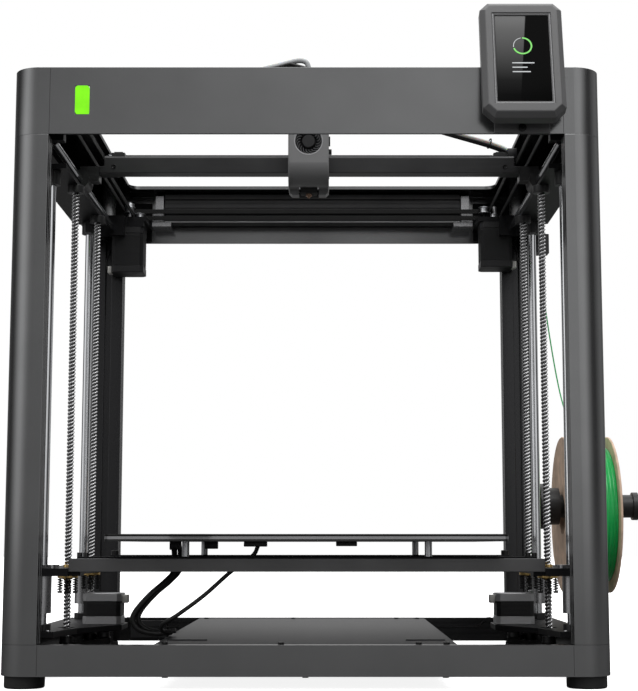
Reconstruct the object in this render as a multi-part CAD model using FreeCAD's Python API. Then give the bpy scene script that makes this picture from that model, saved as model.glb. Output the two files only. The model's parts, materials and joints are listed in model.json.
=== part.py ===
import FreeCAD, Part
import math
import os

# Open-frame desktop printer with a 400 mm class bed, in millimetres.
# +X is to the right, +Y to the back, +Z up. The origin is on the floor, midway between the four feet.

V = FreeCAD.Vector

# Frame
WIDTH = 593.0
DEPTH = 573.0
FRONT = -DEPTH / 2
BACK = DEPTH / 2
SIDE = WIDTH / 2
CORNER_R = 28.0
FOOT_TOP = 12.1
BASE_TOP = 42.0
COLUMN_TOP = 545.2
RING_TOP = 613.9
RING_WALL = 3.0
FOOT_R = 19.7
FOOT_X = 273.0
FOOT_Y = 263.0
FOOT_HOLE_R = 3.2
BASE_BEAM = 14.0
COLUMN_WALL = 3.0
COLUMN_CUT = 17.0

# Vertical guides and screws, each mirrored left and right
ROD_R = 5.0
ROD_X = 272.0
ROD_YS = (FRONT + 101.0, FRONT + 365.0)
SCREW_R = 4.0
SCREW_X = 257.0
SCREW_YS = (FRONT + 167.0, FRONT + 328.0)
Z_PLATE_LOW = 44.0
Z_PLATE_TOP = 50.0
TOP_PLATE_LOW = 531.0
TOP_PLATE_TOP = 536.0
MOTOR_W = 42.3
Z_MOTOR_X = 229.5
Z_MOTOR_Y = FRONT + 250.0
Z_MOTOR_H = 34.0
Z_BELT_LOW = 27.0

# Bed at rest
BED_HALF = 202.5
BED_Y0 = FRONT + 50.0
BED_Y1 = FRONT + 455.0
SHEET_TOP = 148.2
SHEET_T = 1.2
PLATE_LOW = 141.0
BRACKET_LOW = 105.7
BRACKET_TOP = 113.6
NUT_LOW = BRACKET_LOW - 3.5
SPRING_LOW = 88.5
BOLT_CIRCLE_R = 8.2
BEAM_LOW = 110.0
BEAM_TOP = 123.6
BEAM_D = 20.0
BEAM_SKIN = 3.0
BEAM_END = 243.7
BED_BEAM_YS = (FRONT + 90.0, FRONT + 334.0)
EAR_X = 232.0
POST_X = 125.0
POST_R = 3.8
POST_YS = (FRONT + 100.0, FRONT + 344.0)

# Gantry at rest
BEAM_Y = FRONT + 230.0
BEAM_HALF_Y = 10.0
XBEAM_LOW = 558.6
XBEAM_TOP = 578.6
XBEAM_X = 240.0
RAIL_TOP = 580.6
YROD_X = 261.5
YROD_Z = 550.0
YROD_R = 4.0
YROD_Y0 = FRONT + 50.0
YROD_Y1 = FRONT + 497.0

# Timing belts of the head drive: two planes, one above the other
BELT_W = 6.0
BELT_IN = 6.0
BELT_OUT = 7.4
LOWER_BELT = 572.0
UPPER_BELT = 581.0
DRIVE_X = 244.0
TURN_X = DRIVE_X - BELT_IN - BELT_OUT
DRIVE_Y = FRONT + 523.65
FRONT_IDLER_Y = FRONT + 36.0
CARRIAGE_IDLER_Y = BEAM_Y + BEAM_HALF_Y + 8.5
XY_BRACKET_LOW = 562.0
XY_BRACKET_TOP = 568.0
XY_MOTOR_H = 61.0

# Print head
HEAD_HALF = 22.5
COVER_STEP = 1.2
HEAD_FRONT = FRONT + 160.0
NOZZLE_Y = FRONT + 200.0
NOZZLE_TIP = 524.4
FAN_Z = 580.3
FAN_R = 14.2
HEAD_TOP = 607.0
MOUNT_FRONT = FRONT + 215.5

# Spool and its holder
SPOOL_Y = FRONT + 525.0
SPOOL_X0 = 327.0
SPOOL_X1 = 388.0
SPOOL_R = 101.0
SPOOL_BORE = 25.7
HOLDER_Z = 187.2
HOLDER_R = 14.8
SPOOL_Z = HOLDER_Z + HOLDER_R + 0.2 - SPOOL_BORE

# Display
DISPLAY_X = 215.8
DISPLAY_W = 82.5
DISPLAY_L = 130.4
DISPLAY_T = 16.5
DISPLAY_TILT = 13.0
DISPLAY_Z = 554.6
DISPLAY_Y = FRONT - 33.3
DISPLAY_EDGE = 5.2
WINDOW_HALF = 26.9
WINDOW_LOW = 16.6
WINDOW_HIGH = 114.2
BRACKET_SCREW_Z = 550.5


def box(x0, x1, y0, y1, z0, z1):
    return Part.makeBox(x1 - x0, y1 - y0, z1 - z0, V(x0, y0, z0))


def rod_z(r, x, y, z0, z1):
    return Part.makeCylinder(r, z1 - z0, V(x, y, z0), V(0, 0, 1))


def rod_y(r, x, z, y0, y1):
    return Part.makeCylinder(r, y1 - y0, V(x, y0, z), V(0, 1, 0))


def rod_x(r, y, z, x0, x1):
    return Part.makeCylinder(r, x1 - x0, V(x0, y, z), V(1, 0, 0))


def join(first, *others):
    return first.fuse(list(others)).removeSplitter()


def cut(solid, *tools):
    return solid.cut(list(tools))


def mirrored(solid):
    return solid.mirror(V(0, 0, 0), V(1, 0, 0))


def group(solids):
    return Part.makeCompound(list(solids))


def both_sides(solids):
    solids = list(solids)
    return group(solids + [mirrored(s) for s in solids])


def upright_edges(solid):
    return [e for e in solid.Edges if abs(e.tangentAt(e.FirstParameter).z) > 0.999]


def round_box(x0, x1, y0, y1, z0, z1, r):
    """A block with its four upright edges rounded."""
    solid = box(x0, x1, y0, y1, z0, z1)
    return solid.makeFillet(r, upright_edges(solid))


def prism(points, direction):
    """A flat outline of (x, y, z) points, pushed along a direction."""
    wire = Part.makePolygon([V(*p) for p in points] + [V(*points[0])])
    return Part.Face(wire).extrude(V(*direction))


def tube(points, r):
    """A round cable or tube along a smooth path."""
    curve = Part.BSplineCurve()
    curve.interpolate([V(*p) for p in points])
    path = Part.Wire(curve.toShape())
    start = curve.tangent(curve.FirstParameter)[0]
    ring = Part.Wire(Part.makeCircle(r, V(*points[0]), start))
    return path.makePipeShell([ring], True, True)


# ---- frame ----

def base_frame_ring():
    """Hollow beam ring with solid corners that stand on the feet and carry the columns."""
    ring = round_box(-SIDE, SIDE, FRONT, BACK, FOOT_TOP, BASE_TOP, CORNER_R)
    inner = SIDE - BASE_BEAM
    opening = box(-inner, inner, FRONT + BASE_BEAM, BACK - BASE_BEAM, FOOT_TOP, BASE_TOP)
    corner = 38.5
    corners = [
        box(x0, x0 + corner, y0, y0 + corner, FOOT_TOP, BASE_TOP)
        for x0 in (-SIDE, SIDE - corner)
        for y0 in (FRONT, BACK - corner)
    ]
    opening = opening.cut(corners)
    holes = [
        rod_z(2.6, x, y, FOOT_TOP, FOOT_TOP + 18)
        for x in (-FOOT_X, FOOT_X)
        for y in (-FOOT_Y, FOOT_Y)
    ]
    groove = 1.2
    grooves = [
        box(-250, 250, BACK - BASE_BEAM, BACK - BASE_BEAM + groove, z, z + 2.5)
        for z in (20.0, 27.0, 34.0)
    ]
    inlet = box(-237.2, -190.8, BACK - BASE_BEAM, BACK, 17.0, 39.0)
    return cut(ring, opening, inlet, *holes, *grooves)


def top_frame_ring():
    """Deep skirt ring, open below, with a flange turned in round the top opening."""
    ring = round_box(-SIDE, SIDE, FRONT, BACK, COLUMN_TOP, RING_TOP, CORNER_R)
    hollow = round_box(
        -SIDE + RING_WALL, SIDE - RING_WALL, FRONT + RING_WALL, BACK - RING_WALL,
        COLUMN_TOP, RING_TOP - 4.5, CORNER_R - RING_WALL,
    )
    opening = round_box(-243.7, 243.7, FRONT + 8, FRONT + 522, RING_TOP - 5, RING_TOP, 13)
    lens = box(-231.95, -217.55, FRONT, FRONT + RING_WALL, 565.4, 594.8)
    return cut(ring, hollow, opening, lens)


def column(x0, y0, y1):
    """One right-hand corner post: a hollow section with its outer corner rounded."""
    low, high = BASE_TOP, COLUMN_TOP
    solid = box(x0, SIDE, y0, y1, low, high)
    near_front = y0 < 0
    y_out = y0 if near_front else y1
    outer = [
        e for e in upright_edges(solid)
        if abs(e.CenterOfMass.x - SIDE) < 0.1 and abs(e.CenterOfMass.y - y_out) < 0.1
    ]
    solid = solid.makeFillet(min(CORNER_R, y1 - y0 - 0.5), outer)
    w = COLUMN_WALL
    core = box(x0 + w + 3, SIDE - w - 5, y0 + w + 3, y1 - w - 3, low, high)
    if near_front:
        back_edge = [
            e for e in upright_edges(solid)
            if abs(e.CenterOfMass.x - x0) < 0.1 and abs(e.CenterOfMass.y - y1) < 0.1
        ]
        solid = solid.makeChamfer(COLUMN_CUT, back_edge)
        core_back = [
            e for e in upright_edges(core)
            if abs(e.CenterOfMass.x - x0 - w - 3) < 0.1 and abs(e.CenterOfMass.y - y1 + w + 3) < 0.1
        ]
        core = core.makeChamfer(COLUMN_CUT - 7, core_back)
    core_y = y0 + w + 3 if near_front else y1 - w - 3
    core_corner = [
        e for e in upright_edges(core)
        if abs(e.CenterOfMass.x - SIDE + w + 5) < 0.1 and abs(e.CenterOfMass.y - core_y) < 0.1
    ]
    core = core.makeFillet(min(CORNER_R - w - 5, y1 - y0 - 2 * w - 6.5), core_corner)
    slots = [box(x0, x0 + 2.4, y0 + o - 1.5, y0 + o + 1.5, low, high) for o in (8, 17)]
    if not near_front:
        mid = x0 + 19.0
        slots.append(box(mid - 4, mid + 4, y0, y0 + 5, low, high))
    return cut(solid, core, *slots)


def corner_columns():
    return both_sides([column(258.0, FRONT, FRONT + 40), column(255.0, FRONT + 546, BACK)])


def rubber_feet():
    def foot(x, y):
        disc = rod_z(FOOT_R, x, y, 0, FOOT_TOP)
        low = [e for e in disc.Edges if e.CenterOfMass.z < 0.1 and len(e.Vertexes) == 1]
        return cut(disc.makeFillet(2.0, low), rod_z(FOOT_HOLE_R, x, y, 0, FOOT_TOP))

    return group(foot(x, y) for x in (-FOOT_X, FOOT_X) for y in (-FOOT_Y, FOOT_Y))


def electronics_tray():
    x, y0, y1 = 146.0, FRONT + BASE_BEAM, BACK - BASE_BEAM
    outer = box(-x, x, y0, y1, FOOT_TOP + 1, 40.4)
    inner = box(-x + 1.5, x - 1.5, y0 + 1.5, y1 - 1.5, FOOT_TOP + 2.5, 40.4)
    vents = [box(-60, 60, y, y + 5, FOOT_TOP + 1, FOOT_TOP + 2.5) for y in range(-120, 150, 14)]
    return cut(outer, inner, *vents)


def electronics_cover():
    x, y0, y1 = 147.0, FRONT + BASE_BEAM, FRONT + 544.0
    plate = box(-x, x, y0, y1, 40.5, 42.0)
    ribs = [box(s * 120 - 20, s * 120 + 20, y0 + 60, y0 + 62, 42.0, 43.0) for s in (-1, 1)]
    return join(plate, *ribs)


def control_electronics():
    floor = FOOT_TOP + 2.6
    board = box(-120, 0, -150, 20, floor + 4, floor + 5.6)
    chips = [
        box(-110 + 24 * i, -96 + 24 * i, -60, -44, floor + 5.6, floor + 14) for i in range(4)
    ]
    posts = [rod_z(3, x, y, floor, floor + 4) for x in (-115, -5) for y in (-145, 15)]
    supply = box(20, 130, -160, 55, floor, floor + 22)
    return group([join(board, *chips, *posts), supply])


def power_inlet():
    """Mains socket set into the rear beam, with a bay beside it for the rocker switch."""
    y0 = BACK - 24
    body = box(-237, -191, y0, BACK, 17.2, 38.8)
    flange = box(-240, -188, BACK, BACK + 2, 15.2, 40.8)
    socket = box(-234.5, -211.5, BACK - 16, BACK + 2, 19.5, 36.5)
    pins = [box(x - 1, x + 1, BACK - 16, BACK - 2, 26, 30) for x in (-230, -223, -216)]
    bay = box(-208, -194, BACK - 12, BACK + 2, 18.5, 37.5)
    shell = cut(join(body, flange), socket, bay)
    pivots = [rod_x(1.2, BACK - 3, 28, x, x + 1) for x in (-208, -195)]
    return join(shell, *pins, *pivots)


def switch_rocker():
    """Rocker with one face pressed in, on a pivot along X."""
    side = [
        (-206.6, BACK - 7, 19.2), (-206.6, BACK - 7, 36.8), (-206.6, BACK + 0.5, 36.8),
        (-206.6, BACK - 0.6, 28.0), (-206.6, BACK + 2.4, 19.2),
    ]
    body = prism(side, (11.2, 0, 0))
    return cut(body, rod_x(1.25, BACK - 3, 28, -207, -195))


# ---- vertical drive ----

def z_base_plate():
    outline = [
        (293, 84), (293, 384), (257, 384), (244, 340), (206, 276), (206, 224), (244, 155), (257, 84),
    ]
    plate = prism([(x, FRONT + d, Z_PLATE_LOW) for x, d in outline], (0, 0, Z_PLATE_TOP - Z_PLATE_LOW))
    holes = [rod_z(ROD_R + 0.05, ROD_X, y, Z_PLATE_LOW, Z_PLATE_TOP) for y in ROD_YS]
    holes += [rod_z(9.0, SCREW_X, y, Z_PLATE_LOW, Z_PLATE_TOP) for y in SCREW_YS]
    holes.append(rod_z(11.2, Z_MOTOR_X, Z_MOTOR_Y, Z_PLATE_LOW, Z_PLATE_TOP))
    feet = [box(284, 293, FRONT + d, FRONT + d + 30, BASE_TOP, Z_PLATE_LOW) for d in (90, 219, 348)]
    return join(cut(plate, *holes), *feet)


def z_top_plate():
    """Shelf inside the top ring that holds the upper ends of the rods and screws."""
    wall = SIDE - RING_WALL - 0.1
    outline = [(wall, 85), (wall, 372), (283, 380), (254, 380), (254, 85)]
    shelf = prism([(x, FRONT + d, TOP_PLATE_LOW) for x, d in outline], (0, 0, TOP_PLATE_TOP - TOP_PLATE_LOW))
    flange = box(wall - 2.5, wall, FRONT + 85, FRONT + 372, TOP_PLATE_LOW, 576)
    lips = [box(wall - 16, wall, FRONT + d, FRONT + d + 3, TOP_PLATE_LOW, 543) for d in (85, 369)]
    return join(shelf, flange, *lips)


def stepper(x, y, z0, length, shaft_up):
    """Square motor with bevelled corners, round boss and shaft."""
    h = MOTOR_W / 2
    body = box(x - h, x + h, y - h, y + h, z0, z0 + length)
    body = body.makeChamfer(4.0, upright_edges(body))
    side = -1 if x > 0 else 1
    x_in = x + side * h
    plug = box(min(x_in, x_in + side * 7), max(x_in, x_in + side * 7), y - 8, y + 8, z0 + 1, z0 + 10)
    if shaft_up:
        boss = rod_z(11.0, x, y, z0 + length, z0 + length + 2)
        shaft = rod_z(2.5, x, y, z0 + length, shaft_up)
    else:
        boss = rod_z(11.0, x, y, z0 - 2, z0)
        shaft = rod_z(2.5, x, y, z0 - 23, z0)
        plug = plug.translated(V(0, 0, length - 12))
    return join(body, plug, boss, shaft)


def stepper_motors():
    z_motors = [stepper(s * Z_MOTOR_X, Z_MOTOR_Y, Z_PLATE_TOP, Z_MOTOR_H, 0) for s in (-1, 1)]
    left = stepper(-DRIVE_X, DRIVE_Y, XY_BRACKET_LOW - 7 - XY_MOTOR_H, XY_MOTOR_H, 592)
    right = stepper(DRIVE_X, DRIVE_Y, XY_BRACKET_LOW - XY_MOTOR_H, XY_MOTOR_H, 586)
    return group(z_motors + [left, right])


def z_guide_rods():
    return both_sides(rod_z(ROD_R, ROD_X, y, Z_PLATE_LOW, TOP_PLATE_LOW - 0.5) for y in ROD_YS)


def z_end_blocks():
    """Rod clamps at both ends and the bearing blocks at the screws' upper ends."""
    blocks = []
    for y in ROD_YS:
        for z0, z1 in ((Z_PLATE_TOP, Z_PLATE_TOP + 7), (516.0, TOP_PLATE_LOW)):
            ear = box(ROD_X - 3.5, ROD_X + 3.5, y - 15, y, z0, z1)
            block = join(rod_z(9.5, ROD_X, y, z0, z1), ear)
            blocks.append(cut(block, rod_z(ROD_R + 0.05, ROD_X, y, z0, z1)))
    for y in SCREW_YS:
        block = rod_z(9.2, SCREW_X, y, 522.5, TOP_PLATE_LOW)
        blocks.append(cut(block, rod_z(SCREW_R + 0.06, SCREW_X, y, 522.5, TOP_PLATE_LOW)))
    return both_sides(blocks)


def z_pulley(x, y, bore):
    z0 = Z_BELT_LOW
    parts = [
        rod_z(6.0, x, y, z0, z0 + 8),
        rod_z(8.0, x, y, z0, z0 + 1),
        rod_z(8.0, x, y, z0 + 7.4, z0 + 8.4),
        rod_z(7.0, x, y, z0 + 8.4, z0 + 14),
    ]
    return cut(join(*parts), rod_z(bore, x, y, z0, z0 + 14)) if bore else join(*parts)


def lead_screw(x, y):
    return join(rod_z(SCREW_R, x, y, 22.0, 529.0), z_pulley(x, y, 0))


def z_belt(side):
    """Belt round the motor pulley and the two screw pulleys of one side."""
    centres = [(Z_MOTOR_X, Z_MOTOR_Y), (SCREW_X, SCREW_YS[0]), (SCREW_X, SCREW_YS[1])]
    path = Part.makePolygon([V(x, y, Z_BELT_LOW + 1.2) for x, y in centres + centres[:1]])
    outer = Part.Face(path.makeOffset2D(7.5))
    inner = Part.Face(path.makeOffset2D(6.1))
    belt = outer.cut(inner).extrude(V(0, 0, BELT_W)).Solids[0]
    return belt if side > 0 else mirrored(belt)


# ---- bed ----

def bed_frame():
    """Cross beams joined by two long runners, cut away over the ears of the side brackets."""
    first, last = BED_BEAM_YS
    beams = [box(-BEAM_END, BEAM_END, y, y + BEAM_D, BEAM_LOW, BEAM_TOP) for y in BED_BEAM_YS]
    half = BEAM_D / 2
    runners = [
        box(s * POST_X - half, s * POST_X + half, first + BEAM_D, last, BEAM_LOW, BEAM_TOP)
        for s in (-1, 1)
    ]
    middle = (first + last) / 2
    mid = box(-POST_X, POST_X, middle, middle + BEAM_D, BEAM_LOW, BEAM_TOP)
    seat_z = BRACKET_TOP + 0.1
    seats = [
        box(x0, x0 + 12, y, y + BEAM_D, BEAM_LOW, seat_z)
        for x0 in (-BEAM_END, BEAM_END - 12)
        for y in (first + BEAM_SKIN, last)
    ]
    return cut(join(beams[0], beams[1], mid, *runners), *seats)


def bed_bracket():
    """Side plate that ties both beams to the bearings and nuts of one side."""
    ear_y0, ear_y1 = BED_BEAM_YS[0] + BEAM_SKIN + 0.1, BED_BEAM_YS[1] + BEAM_D + 6
    outline = [
        (290, FRONT + 85), (290, FRONT + 383), (246, FRONT + 383), (246, ear_y1), (EAR_X, ear_y1),
        (EAR_X, BED_BEAM_YS[1] - 6), (246, BED_BEAM_YS[1] - 18), (246, FRONT + 130), (EAR_X, FRONT + 118),
        (EAR_X, ear_y0), (BEAM_END + 0.3, ear_y0), (BEAM_END + 0.3, FRONT + 85),
    ]
    plate = prism([(x, y, BRACKET_LOW) for x, y in outline], (0, 0, BRACKET_TOP - BRACKET_LOW))
    holes = [rod_z(9.6, ROD_X, y, BRACKET_LOW, BRACKET_TOP) for y in ROD_YS]
    holes += [rod_z(6.0, SCREW_X, y, BRACKET_LOW, BRACKET_TOP) for y in SCREW_YS]
    return cut(plate, *holes)


def z_bearings():
    def bearing(y):
        barrel = rod_z(9.5, ROD_X, y, 68.0, BRACKET_TOP + 3.5)
        collar = round_box(ROD_X - 15, ROD_X + 15, y - 15, y + 15, BRACKET_TOP, BRACKET_TOP + 3.5, 4)
        return cut(join(barrel, collar), rod_z(ROD_R + 0.05, ROD_X, y, 68.0, BRACKET_TOP + 3.5))

    return both_sides(bearing(y) for y in ROD_YS)


def z_nuts():
    """Flanged nuts, each held up against its bracket by four sprung bolts."""
    def nut(y):
        collar = rod_z(11.0, SCREW_X, y, NUT_LOW, BRACKET_LOW)
        barrel = rod_z(5.1, SCREW_X, y, NUT_LOW - 1.5, BRACKET_TOP + 3)
        return cut(join(collar, barrel), rod_z(SCREW_R + 0.06, SCREW_X, y, NUT_LOW - 2, BRACKET_TOP + 3))

    return both_sides(nut(y) for y in SCREW_YS)


def nut_springs():
    """The sprung bolts, four round each nut."""
    def bolt(x, y):
        head = rod_z(2.8, x, y, SPRING_LOW - 2.2, SPRING_LOW)
        return join(head, rod_z(2.6, x, y, SPRING_LOW, NUT_LOW))

    r = BOLT_CIRCLE_R
    spots = [(SCREW_X + dx, y + dy) for y in SCREW_YS for dx, dy in ((r, 0), (-r, 0), (0, r), (0, -r))]
    return both_sides(bolt(x, y) for x, y in spots)


def bed_supports():
    """Spacer posts between the cross beams and the heated plate."""
    return both_sides(rod_z(POST_R, POST_X, y, BEAM_TOP, PLATE_LOW) for y in POST_YS)


def heated_bed():
    return round_box(-BED_HALF, BED_HALF, BED_Y0, BED_Y1, PLATE_LOW, SHEET_TOP - SHEET_T, 5)


def build_sheet():
    low = SHEET_TOP - SHEET_T
    sheet = round_box(-BED_HALF, BED_HALF, BED_Y0, BED_Y1, low, SHEET_TOP, 5)
    tab = [(-138, BED_Y0, low), (-94, BED_Y0, low), (-99, BED_Y0 - 10, low), (-133, BED_Y0 - 10, low)]
    return join(sheet, prism(tab, (0, 0, SHEET_T)))


# ---- gantry ----

def x_beam():
    y0, y1 = BEAM_Y - BEAM_HALF_Y, BEAM_Y + BEAM_HALF_Y
    beam = box(-XBEAM_X, XBEAM_X, y0, y1, XBEAM_LOW, XBEAM_TOP)
    front_top = [
        e for e in beam.Edges
        if abs(e.CenterOfMass.y - y0) < 0.1 and abs(e.CenterOfMass.z - XBEAM_TOP) < 0.1
    ]
    beam = beam.makeChamfer(2.0, front_top)
    core = box(-XBEAM_X, XBEAM_X, y0 + 3, y1 - 3, XBEAM_LOW + 3, XBEAM_TOP - 4)
    notch = [
        box(min(s * 234.4, s * XBEAM_X), max(s * 234.4, s * XBEAM_X), y0, y1, 566.5, XBEAM_TOP)
        for s in (-1, 1)
    ]
    rail = box(-210, 210, BEAM_Y - 6, BEAM_Y + 6, XBEAM_TOP, RAIL_TOP)
    stops = []
    for s in (-1, 1):
        stops.append(box(s * 218.8 - 7.6, s * 218.8 + 7.6, BEAM_Y - 7, BEAM_Y + 5, XBEAM_TOP, 583.2))
        stops.append(box(s * 218.8 - 5, s * 218.8 + 5, BEAM_Y - 5, BEAM_Y + 3, 583.2, 584.6))
    return join(cut(beam, core, *notch), rail, *stops)


def y_carriage():
    """Bearing housing on the Y rod, foot under the beam's end and shelf for two belt idlers."""
    y0, y1 = BEAM_Y - 17.0, BEAM_Y + 17.0
    housing = rod_y(11.0, YROD_X, YROD_Z, y0, y1)
    arm = box(XBEAM_X + 0.1, 262, y0 + 7, y1 - 7, YROD_Z, 566.3)
    shelf = box(222, 246, BEAM_Y + BEAM_HALF_Y + 0.1, CARRIAGE_IDLER_Y + 8.5, 562.0, 566.3)
    pin = rod_z(2.0, TURN_X, CARRIAGE_IDLER_Y, 566.3, 586.5)
    head = rod_z(3.6, TURN_X, CARRIAGE_IDLER_Y, 586.5, 588.0)
    carriage = join(housing, arm, shelf, pin, head)
    return cut(carriage, rod_y(YROD_R + 0.05, YROD_X, YROD_Z, y0, y1))


def y_guide_rods():
    return both_sides([rod_y(YROD_R, YROD_X, YROD_Z, YROD_Y0, YROD_Y1)])


def gantry_bracket(side):
    """Everything of one side that hangs in the top ring: rod holders, idler pins, motor plate."""
    wall = SIDE - RING_WALL - 0.1
    holes = [rod_y(YROD_R, YROD_X, YROD_Z, YROD_Y0, YROD_Y1)]
    front = join(
        box(250, wall, YROD_Y0 - 8, YROD_Y0 + 6, YROD_Z, 560),
        box(234, wall, YROD_Y0 - 22, YROD_Y0 + 10, 560, 564),
        box(wall - 4, wall, YROD_Y0 - 22, YROD_Y0 + 10, 564, 600),
    )
    pin_z = UPPER_BELT if side < 0 else LOWER_BELT
    pins = [rod_z(2.0, DRIVE_X, FRONT_IDLER_Y, 564, pin_z + 5.5)]
    front = join(front, *pins)
    motor_hole = rod_z(11.2, DRIVE_X, DRIVE_Y, XY_BRACKET_LOW - 7, XY_BRACKET_TOP)
    plate_y = DRIVE_Y - MOTOR_W / 2 - 0.15
    rear_wall = BACK - RING_WALL - 0.1
    plate = box(219, wall, plate_y, BACK - CORNER_R - 0.1, XY_BRACKET_LOW, XY_BRACKET_TOP)
    tail = box(219, wall - 25, BACK - CORNER_R - 0.1, rear_wall, XY_BRACKET_LOW, XY_BRACKET_TOP)
    rear_flange = box(219, wall - 25, rear_wall - 2.5, rear_wall, 548, 600)
    rod_block = box(247, wall, YROD_Y1 - 4, plate_y, 541.5, XY_BRACKET_TOP)
    rear_pin_z = LOWER_BELT if side < 0 else UPPER_BELT
    rear_pin = rod_z(2.0, TURN_X, DRIVE_Y, XY_BRACKET_TOP, rear_pin_z + 5.5)
    rear = join(plate, tail, rear_flange, rod_block, rear_pin)
    if side < 0:
        h = MOTOR_W / 2
        low = XY_BRACKET_LOW - 7
        rear = join(rear, box(DRIVE_X - h, DRIVE_X + h, DRIVE_Y - h, DRIVE_Y + h, low, XY_BRACKET_LOW))
    rear = cut(rear, motor_hole)
    shapes = [cut(front, *holes), cut(rear, *holes)]
    return shapes if side > 0 else [mirrored(s) for s in shapes]


def beam_clip():
    """Angle bracket that ties the rear crossbeam to the ring."""
    y0 = FRONT + 545.0
    wall = BACK - RING_WALL - 0.1
    foot = box(190, 216, y0 - 9, wall, 562, 567.5)
    web = box(201, 212, y0, wall, 567.5, 606)
    back = box(201, 216, wall - 3, wall, 562, 606)
    return join(foot, web, back)


def rear_crossbeam():
    y0 = FRONT + 545.0
    beam = box(-200, 200, y0, y0 + 20, 568, 608)
    lip = box(-200, 200, y0 - 1.2, y0, 568, 570.4)
    slots = [box(-200, 200, y0, y0 + 4, z - 3, z + 3) for z in (578, 598)]
    line = box(-200, 200, y0, y0 + 0.8, 587, 589)
    core = box(-200, 200, y0 + 6, y0 + 16, 572, 604)
    return cut(join(beam, lip), line, core, *slots)


# ---- belts and pulleys ----

def belt_box(x0, x1, y0, y1, plane):
    z0 = plane - BELT_W / 2
    return box(min(x0, x1), max(x0, x1), min(y0, y1), max(y0, y1), z0, z0 + BELT_W)


def belt_turn(x, y, plane, start, sweep):
    """Part of a belt wrapped round a pulley, from an angle in degrees."""
    z0 = plane - BELT_W / 2
    outer = Part.makeCylinder(BELT_OUT, BELT_W, V(x, y, z0), V(0, 0, 1), sweep)
    inner = Part.makeCylinder(BELT_IN, BELT_W, V(x, y, z0), V(0, 0, 1), sweep)
    piece = outer.cut(inner)
    piece.rotate(V(x, y, 0), V(0, 0, 1), start)
    return piece


def fixed_belt(plane):
    """Run of one head belt that stays put: outer side run, drive corner and rear run.

    Written for the right-hand motor. The left-hand belt is its mirror image."""
    parts = [
        belt_box(DRIVE_X + BELT_IN, DRIVE_X + BELT_OUT, FRONT_IDLER_Y, DRIVE_Y, plane),
        belt_turn(DRIVE_X, FRONT_IDLER_Y, plane, 180, 180),
        belt_turn(DRIVE_X, DRIVE_Y, plane, 0, 90),
        belt_box(-TURN_X, DRIVE_X, DRIVE_Y + BELT_IN, DRIVE_Y + BELT_OUT, plane),
        belt_turn(-TURN_X, DRIVE_Y, plane, 90, 90),
    ]
    return join(*parts)


def timing_belts():
    return group([fixed_belt(LOWER_BELT), mirrored(fixed_belt(UPPER_BELT)), z_belt(-1), z_belt(1)])


def belt_moving_runs():
    """Inner side runs and cross runs, which grow and shrink as the carriage and head travel."""
    def forward(plane):
        y = CARRIAGE_IDLER_Y
        x = TURN_X + BELT_IN
        return [
            belt_box(x, x + 1.4, FRONT_IDLER_Y, y, plane),
            belt_turn(TURN_X, y, plane, 0, 90),
            belt_box(10.2, TURN_X, y + BELT_IN, y + BELT_OUT, plane),
        ]

    def rearward(plane):
        y = CARRIAGE_IDLER_Y
        x = TURN_X + BELT_IN
        return [
            belt_box(x, x + 1.4, y, DRIVE_Y, plane),
            belt_turn(TURN_X, y, plane, 270, 90),
            belt_box(10.2, TURN_X, y - BELT_OUT, y - BELT_IN, plane),
        ]

    right = [join(*forward(LOWER_BELT)), join(*rearward(UPPER_BELT))]
    left = [mirrored(join(*forward(UPPER_BELT))), mirrored(join(*rearward(LOWER_BELT)))]
    return group(right + left)


def pulley(x, y, plane, bore, hub=0.0):
    """Flanged belt wheel. A positive hub stands on top of it."""
    parts = [
        rod_z(5.8, x, y, plane - 4, plane + 4),
        rod_z(8.0, x, y, plane - 4, plane - 3.2),
        rod_z(8.0, x, y, plane + 3.2, plane + 4),
    ]
    if hub:
        parts.append(rod_z(6.2, x, y, plane + 4, plane + 4 + hub))
    return cut(join(*parts), rod_z(bore, x, y, plane - 4, plane + 4 + hub))


# ---- print head ----

def head_mount():
    """Saddle over the beam that runs on the rail and grips the belts behind the beam."""
    front = box(-20, 20, MOUNT_FRONT, BEAM_Y - BEAM_HALF_Y - 0.3, 545, 588)
    saddle = box(-10, 10, MOUNT_FRONT, CARRIAGE_IDLER_Y + 5.8, RAIL_TOP + 2.8, 588)
    runner = box(-10, 10, BEAM_Y - 5.8, BEAM_Y + 5.8, RAIL_TOP + 0.2, RAIL_TOP + 2.8)
    grip = box(-10, 10, CARRIAGE_IDLER_Y - 5.8, CARRIAGE_IDLER_Y + 5.8, 566.5, 584)
    return join(front, saddle, runner, grip)


def extruder_hotend():
    """Nozzle, heater block, heat sink, filament drive and its motor, and the blower's back plate."""
    y = NOZZLE_Y
    tip = Part.makeCone(0.6, 3.4, 5.0, V(0, y, NOZZLE_TIP), V(0, 0, 1))
    neck = rod_z(3.8, 0, y, NOZZLE_TIP + 5, NOZZLE_TIP + 8)
    block = box(-9, 9, y - 9, y + 9, NOZZLE_TIP + 8, NOZZLE_TIP + 19)
    tube_break = rod_z(3.5, 0, y, NOZZLE_TIP + 19, 550)
    fins = [box(-12, 12, y - 12, y + 12, z, z + 1.6) for z in (550, 554, 558, 562, 566)]
    core = box(-7, 7, y - 7, y + 7, 550, 572)
    body = box(-17, 17, y - 14, MOUNT_FRONT - 0.1, 572, 606)
    pocket = box(-2, 14, y - 6, y + 6, 578, 600)
    filament_path = rod_z(1.1, 0, y, 572, 606)
    motor = rod_y(13.3, 6, 589, y - 24, y - 14)
    post = rod_y(1.5, 6.9, 589, y - 6, y + 6)
    back_plate = box(-19.5, 19.5, HEAD_FRONT + 14, HEAD_FRONT + 15.8, 562, 602)
    drive = body.cut([pocket, filament_path])
    return join(drive, post, motor, back_plate, core, *fins, tube_break, block, neck, tip)


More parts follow.
